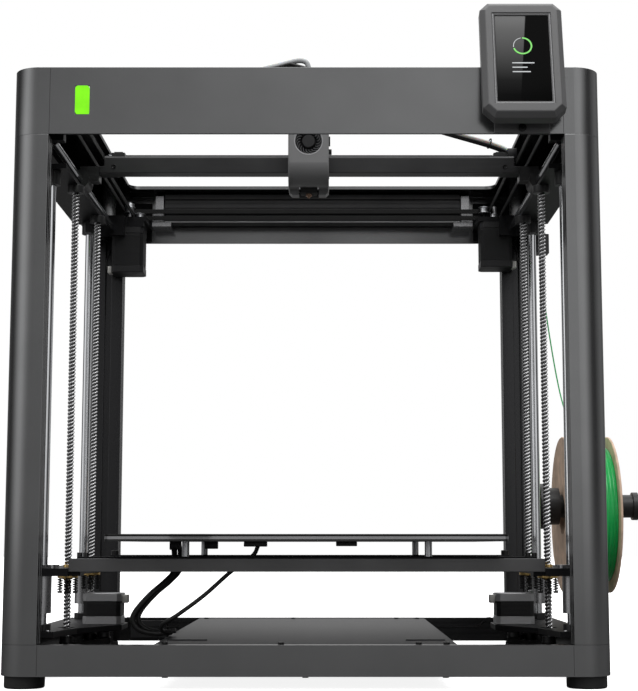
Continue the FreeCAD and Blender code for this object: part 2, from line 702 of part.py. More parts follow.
def extruder_gear():
    gear = rod_y(5.8, 6.9, 589, NOZZLE_Y - 4, NOZZLE_Y + 4)
    return cut(gear, rod_y(1.55, 6.9, 589, NOZZLE_Y - 4, NOZZLE_Y + 4))


def cover_profile(half, front, bend, low, inset=0.0):
    """Side view of a cover part: upright front, then a sweep back to the lower edge, made 2 * half wide."""
    back, top = MOUNT_FRONT - 0.2, HEAD_TOP
    toe = V(-half, front + 24, low)
    mid = V(-half, front + 6.5 + inset * 0.2, (bend + low) / 2 - 3.2)
    edges = [
        Part.makeLine(V(-half, back, top), V(-half, front, top)),
        Part.makeLine(V(-half, front, top), V(-half, front, bend)),
        Part.Arc(V(-half, front, bend), mid, toe).toShape(),
        Part.makeLine(toe, V(-half, back, low)),
        Part.makeLine(V(-half, back, low), V(-half, back, top)),
    ]
    return Part.Face(Part.Wire(edges)).extrude(V(2 * half, 0, 0))


def head_cover():
    """Front shell between two deeper cheeks whose lower corners are bevelled."""
    wall = 1.8
    low = NOZZLE_TIP + 4
    front_half = HEAD_HALF - COVER_STEP
    cheeks = cover_profile(HEAD_HALF, HEAD_FRONT + 1.4, 554.0, low)
    bottom_edges = [
        e for e in cheeks.Edges
        if abs(e.CenterOfMass.z - low) < 0.1 and abs(abs(e.CenterOfMass.x) - HEAD_HALF) < 0.1
    ]
    cheeks = cheeks.makeChamfer(3.6, bottom_edges)
    between = box(-front_half, front_half, HEAD_FRONT, HEAD_FRONT + 40, low, HEAD_TOP)
    shell = join(cheeks.cut(between), cover_profile(front_half, HEAD_FRONT, 556.0, low + 5.4))
    inside = cover_profile(front_half - wall, HEAD_FRONT + wall, 556.0, low + 5.4 + wall, wall)
    room = front_half - wall
    through_top = box(-room, room, HEAD_FRONT + wall, MOUNT_FRONT - 0.2, 590, HEAD_TOP)
    open_back = box(-room, room, MOUNT_FRONT - 8, MOUNT_FRONT, low + wall, HEAD_TOP)
    nozzle_port = box(-11, 11, NOZZLE_Y - 14, MOUNT_FRONT, NOZZLE_TIP, low + 9)
    fan_port = rod_y(14.8, 0, FAN_Z, HEAD_FRONT - 1, HEAD_FRONT + 2)
    return cut(shell, inside, through_top, open_back, nozzle_port, fan_port)


def fan_rotor():
    """Blower wheel: hub, back disc and a ring of blades."""
    y0, y1 = HEAD_FRONT + 0.6, HEAD_FRONT + 13.0
    hub = rod_y(7.5, 0, FAN_Z, y0, y1)
    disc = rod_y(FAN_R, 0, FAN_Z, y1 - 1, y1)
    blades = []
    count = 30
    for i in range(count):
        blade = box(10.4, FAN_R - 0.2, y0 + 0.6, y1 - 1, -0.35, 0.35)
        blade.rotate(V(12.2, 0, 0), V(0, 1, 0), 35)
        blade.rotate(V(0, 0, 0), V(0, 1, 0), 360.0 * i / count)
        blades.append(blade.translated(V(0, 0, FAN_Z)))
    return join(hub, disc, *blades)


# ---- panel items ----

def status_light():
    lens = box(-231.9, -217.6, FRONT - 0.6, FRONT + RING_WALL, 565.5, 594.7)
    edges = [e for e in lens.Edges if abs(e.tangentAt(e.FirstParameter).y) > 0.999]
    return lens.makeFillet(3.0, edges)


def tilt(shape):
    """Lean a display part back about the display's lower front edge."""
    shape.rotate(V(0, DISPLAY_Y, DISPLAY_Z), V(1, 0, 0), -DISPLAY_TILT)
    return shape


def display_outline(inset):
    """Eight-sided outline on the display's front plane, lower edge at DISPLAY_Z."""
    h, w = DISPLAY_L - inset, DISPLAY_W / 2 - inset
    low, top_cut, low_cut = DISPLAY_Z + inset, 8.0, 11.0
    high = DISPLAY_Z + h
    points = [
        (-w + low_cut, low), (w - low_cut, low), (w, low + low_cut), (w, high - top_cut),
        (w - top_cut, high), (-w + top_cut, high), (-w, high - top_cut), (-w, low + low_cut),
    ]
    return [(DISPLAY_X + x, DISPLAY_Y, z) for x, z in points]


def display_housing():
    """Bevelled eight-sided case with a stepped window."""
    body = prism(display_outline(0.0), (0, DISPLAY_T, 0))
    rim = [
        e for e in body.Edges
        if all(abs(v.Point.y - DISPLAY_Y) < 0.01 for v in e.Vertexes)
    ]
    body = body.makeChamfer(DISPLAY_EDGE, rim)
    x0, x1 = DISPLAY_X - WINDOW_HALF, DISPLAY_X + WINDOW_HALF
    z0, z1 = DISPLAY_Z + WINDOW_LOW, DISPLAY_Z + WINDOW_HIGH
    window = box(x0, x1, DISPLAY_Y, DISPLAY_Y + 4.2, z0, z1)
    step = box(x0 - 2.4, x1 + 2.4, DISPLAY_Y, DISPLAY_Y + 0.9, z0 - 2.4, z1 + 2.4)
    hollow = box(x0 - 6, x1 + 6, DISPLAY_Y + 6, DISPLAY_Y + 14.5, z0 - 5, z1 + 4)
    return tilt(cut(body, window, step, hollow))


def display_screen():
    slack = 0.2
    return tilt(box(
        DISPLAY_X - WINDOW_HALF + slack, DISPLAY_X + WINDOW_HALF - slack,
        DISPLAY_Y + 1.9, DISPLAY_Y + 4.1,
        DISPLAY_Z + WINDOW_LOW + slack, DISPLAY_Z + WINDOW_HIGH - slack,
    ))


def display_bracket():
    """Sheet bracket screwed to the ring's front, with a wedge up to the display's back."""
    half, thick = 28.0, 2.5
    plate = box(DISPLAY_X - half, DISPLAY_X + half, FRONT - thick, FRONT, COLUMN_TOP + 0.2, 606)
    lean = math.tan(math.radians(DISPLAY_TILT))
    low, high = 572.0, 602.0
    back_face = DISPLAY_Y + DISPLAY_T / math.cos(math.radians(DISPLAY_TILT)) + 0.2 - DISPLAY_Z * lean
    x = DISPLAY_X - 22
    side = [
        (x, FRONT - thick, low), (x, back_face + low * lean, low),
        (x, back_face + high * lean, high), (x, FRONT - thick, high),
    ]
    hole = rod_y(2.2, DISPLAY_X, BRACKET_SCREW_Z, FRONT - thick, FRONT)
    return cut(join(plate, prism(side, (44, 0, 0))), hole)


def frame_screws():
    """Round-headed screws of the cover, the base ring and the display bracket."""
    def head_up(x, y):
        socket = rod_z(1.4, x, y, BASE_TOP + 0.6, BASE_TOP + 1.6)
        return cut(rod_z(3.0, x, y, BASE_TOP, BASE_TOP + 1.6), socket)

    def head_down(x, y):
        low = FOOT_TOP - 1.2
        return cut(rod_z(3.0, x, y, low, FOOT_TOP), rod_z(1.4, x, y, low, FOOT_TOP - 0.5))

    screws = [head_up(x, y) for x in (-137, -24, 110, 137) for y in (FRONT + 22, FRONT + 536)]
    screws += [head_down(x, y) for x in (-135, 0, 135) for y in (FRONT + 7, BACK - 7)]
    face = FRONT - 4.5
    socket = rod_y(1.6, DISPLAY_X, BRACKET_SCREW_Z, face, face + 1)
    screws.append(cut(rod_y(4.0, DISPLAY_X, BRACKET_SCREW_Z, face, FRONT - 2.5), socket))
    return group(screws)


# ---- filament ----

def spool_holder():
    hub = rod_x(29.4, SPOOL_Y, HOLDER_Z, SIDE, SIDE + 9)
    step = rod_x(24.0, SPOOL_Y, HOLDER_Z, SIDE + 9, 322)
    shaft = rod_x(HOLDER_R, SPOOL_Y, HOLDER_Z, 322, 418)
    end = rod_x(18.0, SPOOL_Y, HOLDER_Z, 418, 425)
    return join(hub, step, shaft, end)


def filament_spool():
    flange = 3.0
    winding_r = 88.0
    parts = [
        rod_x(SPOOL_R, SPOOL_Y, SPOOL_Z, SPOOL_X0, SPOOL_X0 + flange),
        rod_x(SPOOL_R, SPOOL_Y, SPOOL_Z, SPOOL_X1 - flange, SPOOL_X1),
        rod_x(40.0, SPOOL_Y, SPOOL_Z, SPOOL_X0, SPOOL_X1),
    ]
    bore = rod_x(SPOOL_BORE, SPOOL_Y, SPOOL_Z, SPOOL_X0, SPOOL_X1)
    reel = cut(join(*parts), bore)
    winding = cut(
        rod_x(winding_r, SPOOL_Y, SPOOL_Z, SPOOL_X0 + flange + 0.2, SPOOL_X1 - flange - 0.2),
        rod_x(40.2, SPOOL_Y, SPOOL_Z, SPOOL_X0, SPOOL_X1),
    )
    return group([reel, winding])


def filament_sensor():
    """Small block on the right side wall that the filament passes on its way to the head."""
    body = round_box(SIDE, SIDE + 17, BACK - 70, BACK - 46, 520, 545, 3)
    guide = rod_z(4.0, SIDE + 9, BACK - 58, 514, 520)
    return cut(join(body, guide), rod_z(1.2, SIDE + 9, BACK - 58, 514, 545))


# ---- cables ----

def head_harness():
    """Bundle from the beam's right end, arching over to the left and down into the head."""
    path = [
        (236, -50, 584), (214, -54, 594), (160, -62, 608), (60, -52, 640), (-40, -42, 656),
        (-90, -55, 663), (-72, -78, 671), (-34, -86, 679), (-8, NOZZLE_Y, 683),
        (0, NOZZLE_Y, 672), (0, NOZZLE_Y, 640), (0, NOZZLE_Y, 610),
    ]
    return tube(path, 4.0)


def bed_cable():
    """Supply cable from under the bed plate to the electronics cover."""
    path = [
        (-146, -100, 137), (-144, -108, 125), (-143, -120, 109.6), (-152, -130, 98), (-166.6, -138, 84.8),
        (-181, -140, 68), (-184, -140, 57), (-176, -138, 48), (-160, -134, 44.5), (-146, -134, 46.2),
    ]
    return tube(path, 3.2)


NODES = {
    "base_frame_ring": base_frame_ring,
    "top_frame_ring": top_frame_ring,
    "corner_columns": corner_columns,
    "rubber_feet": rubber_feet,
    "electronics_tray": electronics_tray,
    "electronics_cover": electronics_cover,
    "control_electronics": control_electronics,
    "power_inlet": power_inlet,
    "switch_rocker": switch_rocker,
    "z_base_plates": lambda: both_sides([z_base_plate()]),
    "z_top_plates": lambda: both_sides([z_top_plate()]),
    "stepper_motors": stepper_motors,
    "z_guide_rods": z_guide_rods,
    "z_end_blocks": z_end_blocks,
    "lead_screw_front_left": lambda: lead_screw(-SCREW_X, SCREW_YS[0]),
    "lead_screw_front_right": lambda: lead_screw(SCREW_X, SCREW_YS[0]),
    "lead_screw_rear_left": lambda: lead_screw(-SCREW_X, SCREW_YS[1]),
    "lead_screw_rear_right": lambda: lead_screw(SCREW_X, SCREW_YS[1]),
    "z_drive_pulley_left": lambda: z_pulley(-Z_MOTOR_X, Z_MOTOR_Y, 2.55),
    "z_drive_pulley_right": lambda: z_pulley(Z_MOTOR_X, Z_MOTOR_Y, 2.55),
    "bed_frame": bed_frame,
    "bed_brackets": lambda: both_sides([bed_bracket()]),
    "z_bearings": z_bearings,
    "z_nuts": z_nuts,
    "nut_springs": nut_springs,
    "bed_supports": bed_supports,
    "heated_bed": heated_bed,
    "build_sheet": build_sheet,
    "x_beam": x_beam,
    "y_carriages": lambda: both_sides([y_carriage()]),
    "y_guide_rods": y_guide_rods,
    "gantry_brackets": lambda: group(gantry_bracket(-1) + gantry_bracket(1)),
    "rear_crossbeam": rear_crossbeam,
    "beam_clips": lambda: both_sides([beam_clip()]),
    "timing_belts": timing_belts,
    "belt_moving_runs": belt_moving_runs,
    "xy_pulley_left": lambda: pulley(-DRIVE_X, DRIVE_Y, UPPER_BELT, 2.55, 5.0),
    "xy_pulley_right": lambda: pulley(DRIVE_X, DRIVE_Y, LOWER_BELT, 2.55),
    "front_idler_left": lambda: pulley(-DRIVE_X, FRONT_IDLER_Y, UPPER_BELT, 2.05),
    "front_idler_right": lambda: pulley(DRIVE_X, FRONT_IDLER_Y, LOWER_BELT, 2.05),
    "rear_idler_left": lambda: pulley(-TURN_X, DRIVE_Y, LOWER_BELT, 2.05),
    "rear_idler_right": lambda: pulley(TURN_X, DRIVE_Y, UPPER_BELT, 2.05),
    "carriage_idler_left_low": lambda: pulley(-TURN_X, CARRIAGE_IDLER_Y, LOWER_BELT, 2.05),
    "carriage_idler_left_high": lambda: pulley(-TURN_X, CARRIAGE_IDLER_Y, UPPER_BELT, 2.05),
    "carriage_idler_right_low": lambda: pulley(TURN_X, CARRIAGE_IDLER_Y, LOWER_BELT, 2.05),
    "carriage_idler_right_high": lambda: pulley(TURN_X, CARRIAGE_IDLER_Y, UPPER_BELT, 2.05),
    "head_mount": head_mount,
    "extruder_hotend": extruder_hotend,
    "extruder_gear": extruder_gear,
    "head_cover": head_cover,
    "fan_rotor": fan_rotor,
    "status_light": status_light,
    "display_housing": display_housing,
    "display_screen": display_screen,
    "display_bracket": display_bracket,
    "frame_screws": frame_screws,
    "spool_holder": spool_holder,
    "filament_spool": filament_spool,
    "filament_sensor": filament_sensor,
    "cable_looms": lambda: group([head_harness(), bed_cable()]),
}

os.makedirs("parts", exist_ok=True)
for name, make in NODES.items():
    make().exportStep(f"parts/{name}.step")
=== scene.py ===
import json
import math
import random

import bmesh
import bpy
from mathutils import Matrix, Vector


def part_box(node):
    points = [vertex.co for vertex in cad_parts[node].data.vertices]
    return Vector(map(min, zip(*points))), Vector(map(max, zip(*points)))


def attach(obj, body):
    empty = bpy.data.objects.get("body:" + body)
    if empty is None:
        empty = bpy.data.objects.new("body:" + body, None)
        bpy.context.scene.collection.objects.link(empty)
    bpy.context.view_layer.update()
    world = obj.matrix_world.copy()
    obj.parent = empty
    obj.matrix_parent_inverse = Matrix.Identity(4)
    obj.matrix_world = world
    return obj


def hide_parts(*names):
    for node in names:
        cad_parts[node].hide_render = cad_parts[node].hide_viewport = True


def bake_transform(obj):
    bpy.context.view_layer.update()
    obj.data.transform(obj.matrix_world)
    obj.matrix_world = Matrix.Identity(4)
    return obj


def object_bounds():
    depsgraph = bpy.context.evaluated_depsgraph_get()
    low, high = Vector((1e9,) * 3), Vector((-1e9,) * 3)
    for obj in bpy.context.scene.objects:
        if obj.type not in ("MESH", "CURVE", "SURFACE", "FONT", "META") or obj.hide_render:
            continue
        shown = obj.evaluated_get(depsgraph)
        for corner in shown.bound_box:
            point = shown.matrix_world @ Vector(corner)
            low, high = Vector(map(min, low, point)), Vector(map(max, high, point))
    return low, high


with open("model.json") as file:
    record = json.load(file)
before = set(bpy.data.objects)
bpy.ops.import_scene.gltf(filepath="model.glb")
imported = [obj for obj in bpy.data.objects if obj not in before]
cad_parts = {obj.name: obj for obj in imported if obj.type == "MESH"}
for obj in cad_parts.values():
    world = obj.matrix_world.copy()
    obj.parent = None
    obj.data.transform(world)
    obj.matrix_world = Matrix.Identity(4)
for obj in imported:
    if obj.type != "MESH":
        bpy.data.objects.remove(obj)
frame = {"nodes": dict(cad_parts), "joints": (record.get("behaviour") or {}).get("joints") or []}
cad_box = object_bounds()

MM = 0.001
JOINTS = {j["name"]: j for j in frame["joints"]}
NODES = frame["nodes"]
RING_LOW, RING_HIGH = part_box("top_frame_ring")
FRONT, BACK = RING_LOW.y, RING_HIGH.y
SIDE = RING_HIGH.x

NEAR_AXIS = 0.01 * MM
BOTH_SIDES = ((-1, "left"), (1, "right"))
LIFT_CORNERS = [(row, side) for row in ("front", "rear") for side in ("left", "right")]
DISPLAY_TILT = math.radians(13)
THREAD_ROOT, THREAD_CREST = 2.9 * MM, 4.0 * MM
THREAD_PITCH, THREAD_LEAD = 4 * MM, 8 * MM
BELT_WIDTH, BELT_INSIDE, BELT_OUTSIDE = 6 * MM, 6.0 * MM, 7.4 * MM
MOTOR_HALF, MOTOR_CUT = 21.15 * MM, 4.2 * MM
COVER_WIRE_Z = 0.0462

# Brightness of the lighting room by compass angle, by height (0 down, 1 up) and at its ceiling
ROOM_AROUND = [
    (-180, 0.9), (-165, 0.5), (-140, 0.32), (-130, 0.15), (-118, 0.05), (-108, 0.05), (-96, 0.2), (-82, 0.6),
    (-75, 0.86), (-67, 1.06), (-59, 1.08), (-51, 0.92), (-43, 0.7), (-35, 0.5), (-27, 0.36), (-12, 0.28),
    (-5, 0.44), (0, 0.58), (5, 0.67), (10, 0.68), (17, 0.8), (26, 0.94), (34, 0.86), (42, 0.64),
    (52, 0.32), (63, 0.06), (78, 0.02), (104, 0.33), (122, 0.52), (150, 0.4), (165, 0.45), (180, 0.9),
]
ROOM_HEIGHT = [
    (0.0, 0.02), (0.4, 0.12), (0.455, 0.5), (0.477, 0.77), (0.533, 0.92), (0.64, 1.0), (0.75, 0.9),
    (0.9, 0.5),
]
ROOM_CEILING = 1.3

# The viewing camera, level with the resting bed and tilted up
CAMERA_DISTANCE, CAMERA_HEIGHT, CAMERA_X = 1.5094, 0.1381, 0.0231
CAMERA_PITCH = math.radians(7.309)
CAMERA_LENS, CAMERA_SHIFT = 80.70, -0.0151


def axis_point(joint):
    return Vector(JOINTS[joint]["pos_m"])


def centre(node):
    low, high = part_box(node)
    return (low + high) / 2


# ---- materials ----

def new_material(name):
    mat = bpy.data.materials.new(name)
    mat.use_nodes = True
    tree = mat.node_tree
    return mat, tree, tree.nodes["Principled BSDF"]


def noise(tree, scale, detail=3.0, stretch=(1, 1, 1)):
    """Noise over the object's own coordinates, in metres. Returns its factor socket."""
    coords = tree.nodes.new("ShaderNodeTexCoord")
    mapping = tree.nodes.new("ShaderNodeMapping")
    mapping.inputs["Scale"].default_value = stretch
    tree.links.new(coords.outputs["Object"], mapping.inputs["Vector"])
    tex = tree.nodes.new("ShaderNodeTexNoise")
    tex.inputs["Scale"].default_value = scale
    tex.inputs["Detail"].default_value = detail
    tree.links.new(mapping.outputs["Vector"], tex.inputs["Vector"])
    return tex.outputs["Fac"]


def ramp(tree, factor, stops):
    """Colour ramp through (place, colour) stops."""
    node = tree.nodes.new("ShaderNodeValToRGB")
    elements = node.color_ramp.elements
    while len(elements) < len(stops):
        elements.new(0.5)
    for element, (place, colour) in zip(elements, stops):
        element.position = place
        element.color = (*colour, 1)
    tree.links.new(factor, node.inputs["Fac"])
    return node.outputs["Color"]


def spread(tree, factor, low, high):
    """Noise factor spread between two values."""
    node = tree.nodes.new("ShaderNodeMapRange")
    node.inputs["From Min"].default_value = 0.3
    node.inputs["From Max"].default_value = 0.7
    node.inputs["To Min"].default_value = low
    node.inputs["To Max"].default_value = high
    tree.links.new(factor, node.inputs["Value"])
    return node.outputs["Result"]


def add_bump(tree, bsdf, height, strength, distance):
    bump = tree.nodes.new("ShaderNodeBump")
    bump.inputs["Strength"].default_value = strength
    bump.inputs["Distance"].default_value = distance
    tree.links.new(height, bump.inputs["Height"])
    tree.links.new(bump.outputs["Normal"], bsdf.inputs["Normal"])


def surface(
    name, colour, rough, metallic=0.0, grain=900, grain_bump=0.2, mottle=14, change=0.12,
    stretch=(1, 1, 1), rough_change=0.07, coat=0.0, specular=0.5,
):
    """A finish with slow colour variation, uneven gloss and a fine surface grain."""
    mat, tree, bsdf = new_material(name)
    slow = noise(tree, mottle)
    fine = noise(tree, grain, 2.0, stretch)
    dark = tuple(c * (1 - change) for c in colour)
    light = tuple(min(1.0, c * (1 + change)) for c in colour)
    tree.links.new(ramp(tree, slow, [(0.35, dark), (0.65, light)]), bsdf.inputs["Base Color"])
    tree.links.new(spread(tree, fine, rough - rough_change, rough + rough_change), bsdf.inputs["Roughness"])
    add_bump(tree, bsdf, fine, grain_bump, 0.00005)
    bsdf.inputs["Metallic"].default_value = metallic
    bsdf.inputs["Coat Weight"].default_value = coat
    bsdf.inputs["Specular IOR Level"].default_value = specular
    return mat


def maths(tree, operation, a, *b):
    """Maths node on sockets or plain numbers."""
    node = tree.nodes.new("ShaderNodeMath")
    node.operation = operation
    for socket, value in zip(node.inputs, (a, *b)):
        if isinstance(value, (int, float)):
            socket.default_value = value
        else:
            tree.links.new(value, socket)
    return node.outputs[0]


def grey_ramp(tree, factor, stops):
    return ramp(tree, factor, [(place, (level, level, level)) for place, level in stops])


def between(tree, value, low, high):
    """0 below low, 1 above high, straight in between."""
    node = tree.nodes.new("ShaderNodeMapRange")
    node.inputs["From Min"].default_value = low
    node.inputs["From Max"].default_value = high
    tree.links.new(value, node.inputs["Value"])
    return node.outputs["Result"]


def place_and_normal(tree):
    """Separated coordinates of the shaded point and of its normal."""
    coords = tree.nodes.new("ShaderNodeTexCoord")
    place = tree.nodes.new("ShaderNodeSeparateXYZ")
    tree.links.new(coords.outputs["Object"], place.inputs["Vector"])
    shape = tree.nodes.new("ShaderNodeNewGeometry")
    normal = tree.nodes.new("ShaderNodeSeparateXYZ")
    tree.links.new(shape.outputs["Normal"], normal.inputs["Vector"])
    return place, normal


def recolour(tree, bsdf, colour, factor):
    """Mix the base colour that is already there towards another one."""
    mix = tree.nodes.new("ShaderNodeMix")
    mix.data_type = "RGBA"
    source = bsdf.inputs["Base Color"].links[0].from_socket
    tree.links.new(factor, mix.inputs["Factor"])
    tree.links.new(source, mix.inputs["A"])
    if isinstance(colour, tuple):
        mix.inputs["B"].default_value = (*colour, 1)
    else:
        tree.links.new(colour, mix.inputs["B"])
    tree.links.new(mix.outputs["Result"], bsdf.inputs["Base Color"])


def frame_paint():
    """Satin grey paint with painted shade: faces that look into the machine, and upward faces low down, are
    mixed to a darker grey for the shade inside the frame.
    """
    mat = surface(
        "frame_paint", (0.235, 0.237, 0.24), 0.2, 0.88, grain=1600, grain_bump=0.08, change=0.04,
        rough_change=0.03,
    )
    tree = mat.node_tree
    bsdf = tree.nodes["Principled BSDF"]
    place, normal = place_and_normal(tree)
    side = maths(tree, "MULTIPLY", maths(tree, "SIGN", place.outputs["X"]), normal.outputs["X"])
    depth = maths(tree, "MULTIPLY", maths(tree, "SIGN", place.outputs["Y"]), normal.outputs["Y"])
    below_ring = maths(tree, "LESS_THAN", place.outputs["Z"], RING_LOW.z)
    depth = maths(tree, "MULTIPLY", depth, below_ring)
    painted_shade_mask = maths(tree, "MAXIMUM", maths(tree, "MULTIPLY", side, -1.0), maths(tree, "MULTIPLY", depth, -1.0))
    painted_shade_mask = maths(tree, "MAXIMUM", painted_shade_mask, maths(tree, "MULTIPLY", normal.outputs["Z"], -1.0))
    low_top = maths(tree, "MULTIPLY", normal.outputs["Z"], maths(tree, "LESS_THAN", place.outputs["Z"], 0.1))
    painted_shade_mask = maths(tree, "MAXIMUM", painted_shade_mask, low_top)
    # painted shade: the masked faces get a near-black colour in place of the shade they sit in
    recolour(tree, bsdf, (0.055, 0.055, 0.057), between(tree, painted_shade_mask, 0.3, 0.8))
    bsdf.inputs["Specular Tint"].default_value = (0.4, 0.4, 0.4, 1)
    return mat


def layered_plate():
    """Bed plate: black top, bare alloy edge, darker band along the bottom 2 mm."""
    mat = surface("bed_alloy", (0.4, 0.4, 0.41), 0.42, 0.8, change=0.08)
    tree = mat.node_tree
    bsdf = tree.nodes["Principled BSDF"]
    place, _ = place_and_normal(tree)
    low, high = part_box("heated_bed")
    top = between(tree, place.outputs["Z"], high.z - 0.0012, high.z - 0.001)
    under = between(tree, place.outputs["Z"], low.z + 0.0022, low.z + 0.002)
    recolour(tree, bsdf, (0.012, 0.012, 0.012), top)
    recolour(tree, bsdf, (0.05, 0.05, 0.05), under)
    return mat


def speckled(name, colour, fleck, rough):
    """Dark textured sheet with tiny lighter flecks."""
    mat, tree, bsdf = new_material(name)
    coords = tree.nodes.new("ShaderNodeTexCoord")
    cells = tree.nodes.new("ShaderNodeTexVoronoi")
    cells.inputs["Scale"].default_value = 900
    tree.links.new(coords.outputs["Object"], cells.inputs["Vector"])
    tree.links.new(
        ramp(tree, cells.outputs["Distance"], [(0.12, fleck), (0.3, colour)]), bsdf.inputs["Base Color"]
    )
    tree.links.new(spread(tree, noise(tree, 30), rough - 0.06, rough + 0.06), bsdf.inputs["Roughness"])
    add_bump(tree, bsdf, cells.outputs["Distance"], 0.3, 0.0001)
    return mat


def ribbed_belt(name):
    """Rubber belt with cross ribs at the 2 mm tooth pitch, along both X and Y runs."""
    mat, tree, bsdf = new_material(name)
    coords = tree.nodes.new("ShaderNodeTexCoord")
    wave = tree.nodes.new("ShaderNodeTexWave")
    wave.bands_direction = "DIAGONAL"
    wave.inputs["Scale"].default_value = 160
    tree.links.new(coords.outputs["Object"], wave.inputs["Vector"])
    # painted shade: the rib wave also darkens the colour in the grooves between ribs
    tree.links.new(
        ramp(tree, wave.outputs["Fac"], [(0.3, (0.006, 0.006, 0.006)), (0.7, (0.022, 0.022, 0.022))]),
        bsdf.inputs["Base Color"],
    )
    tree.links.new(spread(tree, noise(tree, 60), 0.55, 0.75), bsdf.inputs["Roughness"])
    add_bump(tree, bsdf, wave.outputs["Fac"], 0.5, 0.0004)
    bsdf.inputs["Specular IOR Level"].default_value = 0.15
    return mat


def glowing(name, colour, strength):
    """Lit from within, with a slight unevenness."""
    mat, tree, bsdf = new_material(name)
    shade = ramp(tree, noise(tree, 60), [(0.3, tuple(c * 0.8 for c in colour)), (0.7, colour)])
    tree.links.new(shade, bsdf.inputs["Emission Color"])
    bsdf.inputs["Base Color"].default_value = (*(c * 0.1 for c in colour), 1)
    bsdf.inputs["Emission Strength"].default_value = strength
    bsdf.inputs["Roughness"].default_value = 0.25
    return mat


def dark_glass(name):
    """Black display glass with a painted reflection: on the left half grey fades in towards the top; the
    right half stays black.
    """
    mat, tree, bsdf = new_material(name)
    place, _ = place_and_normal(tree)
    low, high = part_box("display_screen")
    mid = (low + high) / 2
    edge_slope = 0.087
    lean = maths(tree, "MULTIPLY", maths(tree, "SUBTRACT", place.outputs["Z"], mid.z), edge_slope)
    across = maths(tree, "SUBTRACT", maths(tree, "SUBTRACT", place.outputs["X"], mid.x), lean)
    # painted reflection: grey ramp from the bottom to the top of the glass
    lit = grey_ramp(
        tree, between(tree, place.outputs["Z"], low.z, high.z),
        [(0.08, 0.002), (0.25, 0.012), (0.48, 0.06), (0.84, 0.14), (1.0, 0.2)],
    )
    tree.links.new(lit, bsdf.inputs["Base Color"])
    # right of the slanted split the painted reflection is left out
    recolour(tree, bsdf, (0.001, 0.001, 0.001), between(tree, across, -0.0004, 0.0004))
    tree.links.new(spread(tree, noise(tree, 20), 0.06, 0.1), bsdf.inputs["Roughness"])
    bsdf.inputs["Specular IOR Level"].default_value = 0.02
    return mat


def cloudy_tube(name):
    """Milky, slightly see-through plastic tubing."""
    mat, tree, bsdf = new_material(name)
    shade = ramp(tree, noise(tree, 90), [(0.3, (0.72, 0.72, 0.7)), (0.7, (0.88, 0.88, 0.86))])
    tree.links.new(shade, bsdf.inputs["Base Color"])
    bsdf.inputs["Roughness"].default_value = 0.35
    bsdf.inputs["Subsurface Weight"].default_value = 0.2
    return mat


def make_materials():
    return {
        "paint": frame_paint(),
        "black": surface(
            "black_anodised", (0.046, 0.046, 0.047), 0.36, 0.6, stretch=(0.02, 1, 1), change=0.15
        ),
        "beam": surface("bed_beam", (0.13, 0.13, 0.132), 0.38, 0.6, stretch=(0.02, 1, 1), change=0.1),
        "sheet": surface("black_sheet", (0.014, 0.014, 0.015), 0.42, 0.2, grain=1400, specular=0.1),
        "rubber": surface("rubber", (0.009, 0.009, 0.009), 0.7, grain=700, grain_bump=0.4),
        "rod": surface(
            "ground_rod", (0.74, 0.75, 0.77), 0.13, 1.0, stretch=(1, 1, 0.02), change=0.05, rough_change=0.05
        ),
        "screw": surface("rolled_screw", (0.66, 0.66, 0.67), 0.2, 1.0, change=0.08),
        "wire": surface("dark_wire", (0.07, 0.07, 0.07), 0.35, 0.8),
        "steel": surface("turned_steel", (0.42, 0.42, 0.43), 0.3, 1.0, change=0.1),
        "alloy": surface("milled_alloy", (0.66, 0.67, 0.69), 0.34, 1.0, change=0.06),
        "brass": surface("brass", (0.72, 0.5, 0.2), 0.28, 1.0, change=0.1),
        "copper": surface("warm_nozzle", (0.66, 0.42, 0.3), 0.3, 1.0, change=0.1),
        "plastic": surface("black_plastic", (0.012, 0.012, 0.013), 0.4, grain=1800, grain_bump=0.35),
        "housing": surface(
            "display_plastic", (0.088, 0.088, 0.09), 0.36, grain=2000, grain_bump=0.35, change=0.06
        ),
        "cover": surface("head_plastic", (0.23, 0.23, 0.233), 0.36, grain=2000, grain_bump=0.3, change=0.05),
        "stack": surface("motor_stack", (0.014, 0.014, 0.015), 0.5, 0.2, stretch=(0.05, 0.05, 6)),
        "cap": surface("motor_cap", (0.5, 0.5, 0.51), 0.4, 0.85, grain=1200),
        "belt": ribbed_belt("belt_rubber"),
        "bed": layered_plate(),
        "pei": speckled("print_sheet", (0.012, 0.012, 0.012), (0.05, 0.049, 0.047), 0.6),
        "lens": glowing("status_lens", (0.25, 1.0, 0.008), 1.0),
        "ui_green": glowing("ui_green", (0.2, 0.8, 0.12), 0.9),
        "ui_grey": glowing("ui_grey", (0.75, 0.78, 0.8), 0.7),
        "glass": dark_glass("display_glass"),
        "seam": surface("seam_shadow", (0.02, 0.02, 0.02), 0.7),
        # lighter grey for the fan blades' front edges: painted highlight
        "blade": surface("blade_edge_highlight", (0.17, 0.17, 0.175), 0.3),
        "rim": surface("window_rim", (0.2, 0.2, 0.205), 0.3, 0.3),
        "trim": surface("port_trim", (0.42, 0.42, 0.43), 0.3, change=0.05),
        "board": surface("circuit_board", (0.02, 0.08, 0.045), 0.4, change=0.3, mottle=200),
        "card": surface("reel_card", (0.74, 0.54, 0.4), 0.85, grain=1100, grain_bump=0.6, mottle=70),
        "filament": surface("green_filament", (0.008, 0.5, 0.11), 0.3, coat=0.2),
        "cable": surface("cable_jacket", (0.014, 0.014, 0.014), 0.45, grain=500, grain_bump=0.3),
        "wrap": surface("grey_wrap", (0.42, 0.43, 0.44), 0.4, change=0.08),
        "tube": cloudy_tube("milky_tube"),
        "spring": surface("black_spring", (0.03, 0.03, 0.03), 0.3, 0.8),
        "white": surface("white_connector", (0.75, 0.74, 0.7), 0.5),
    }


MATS = make_materials()

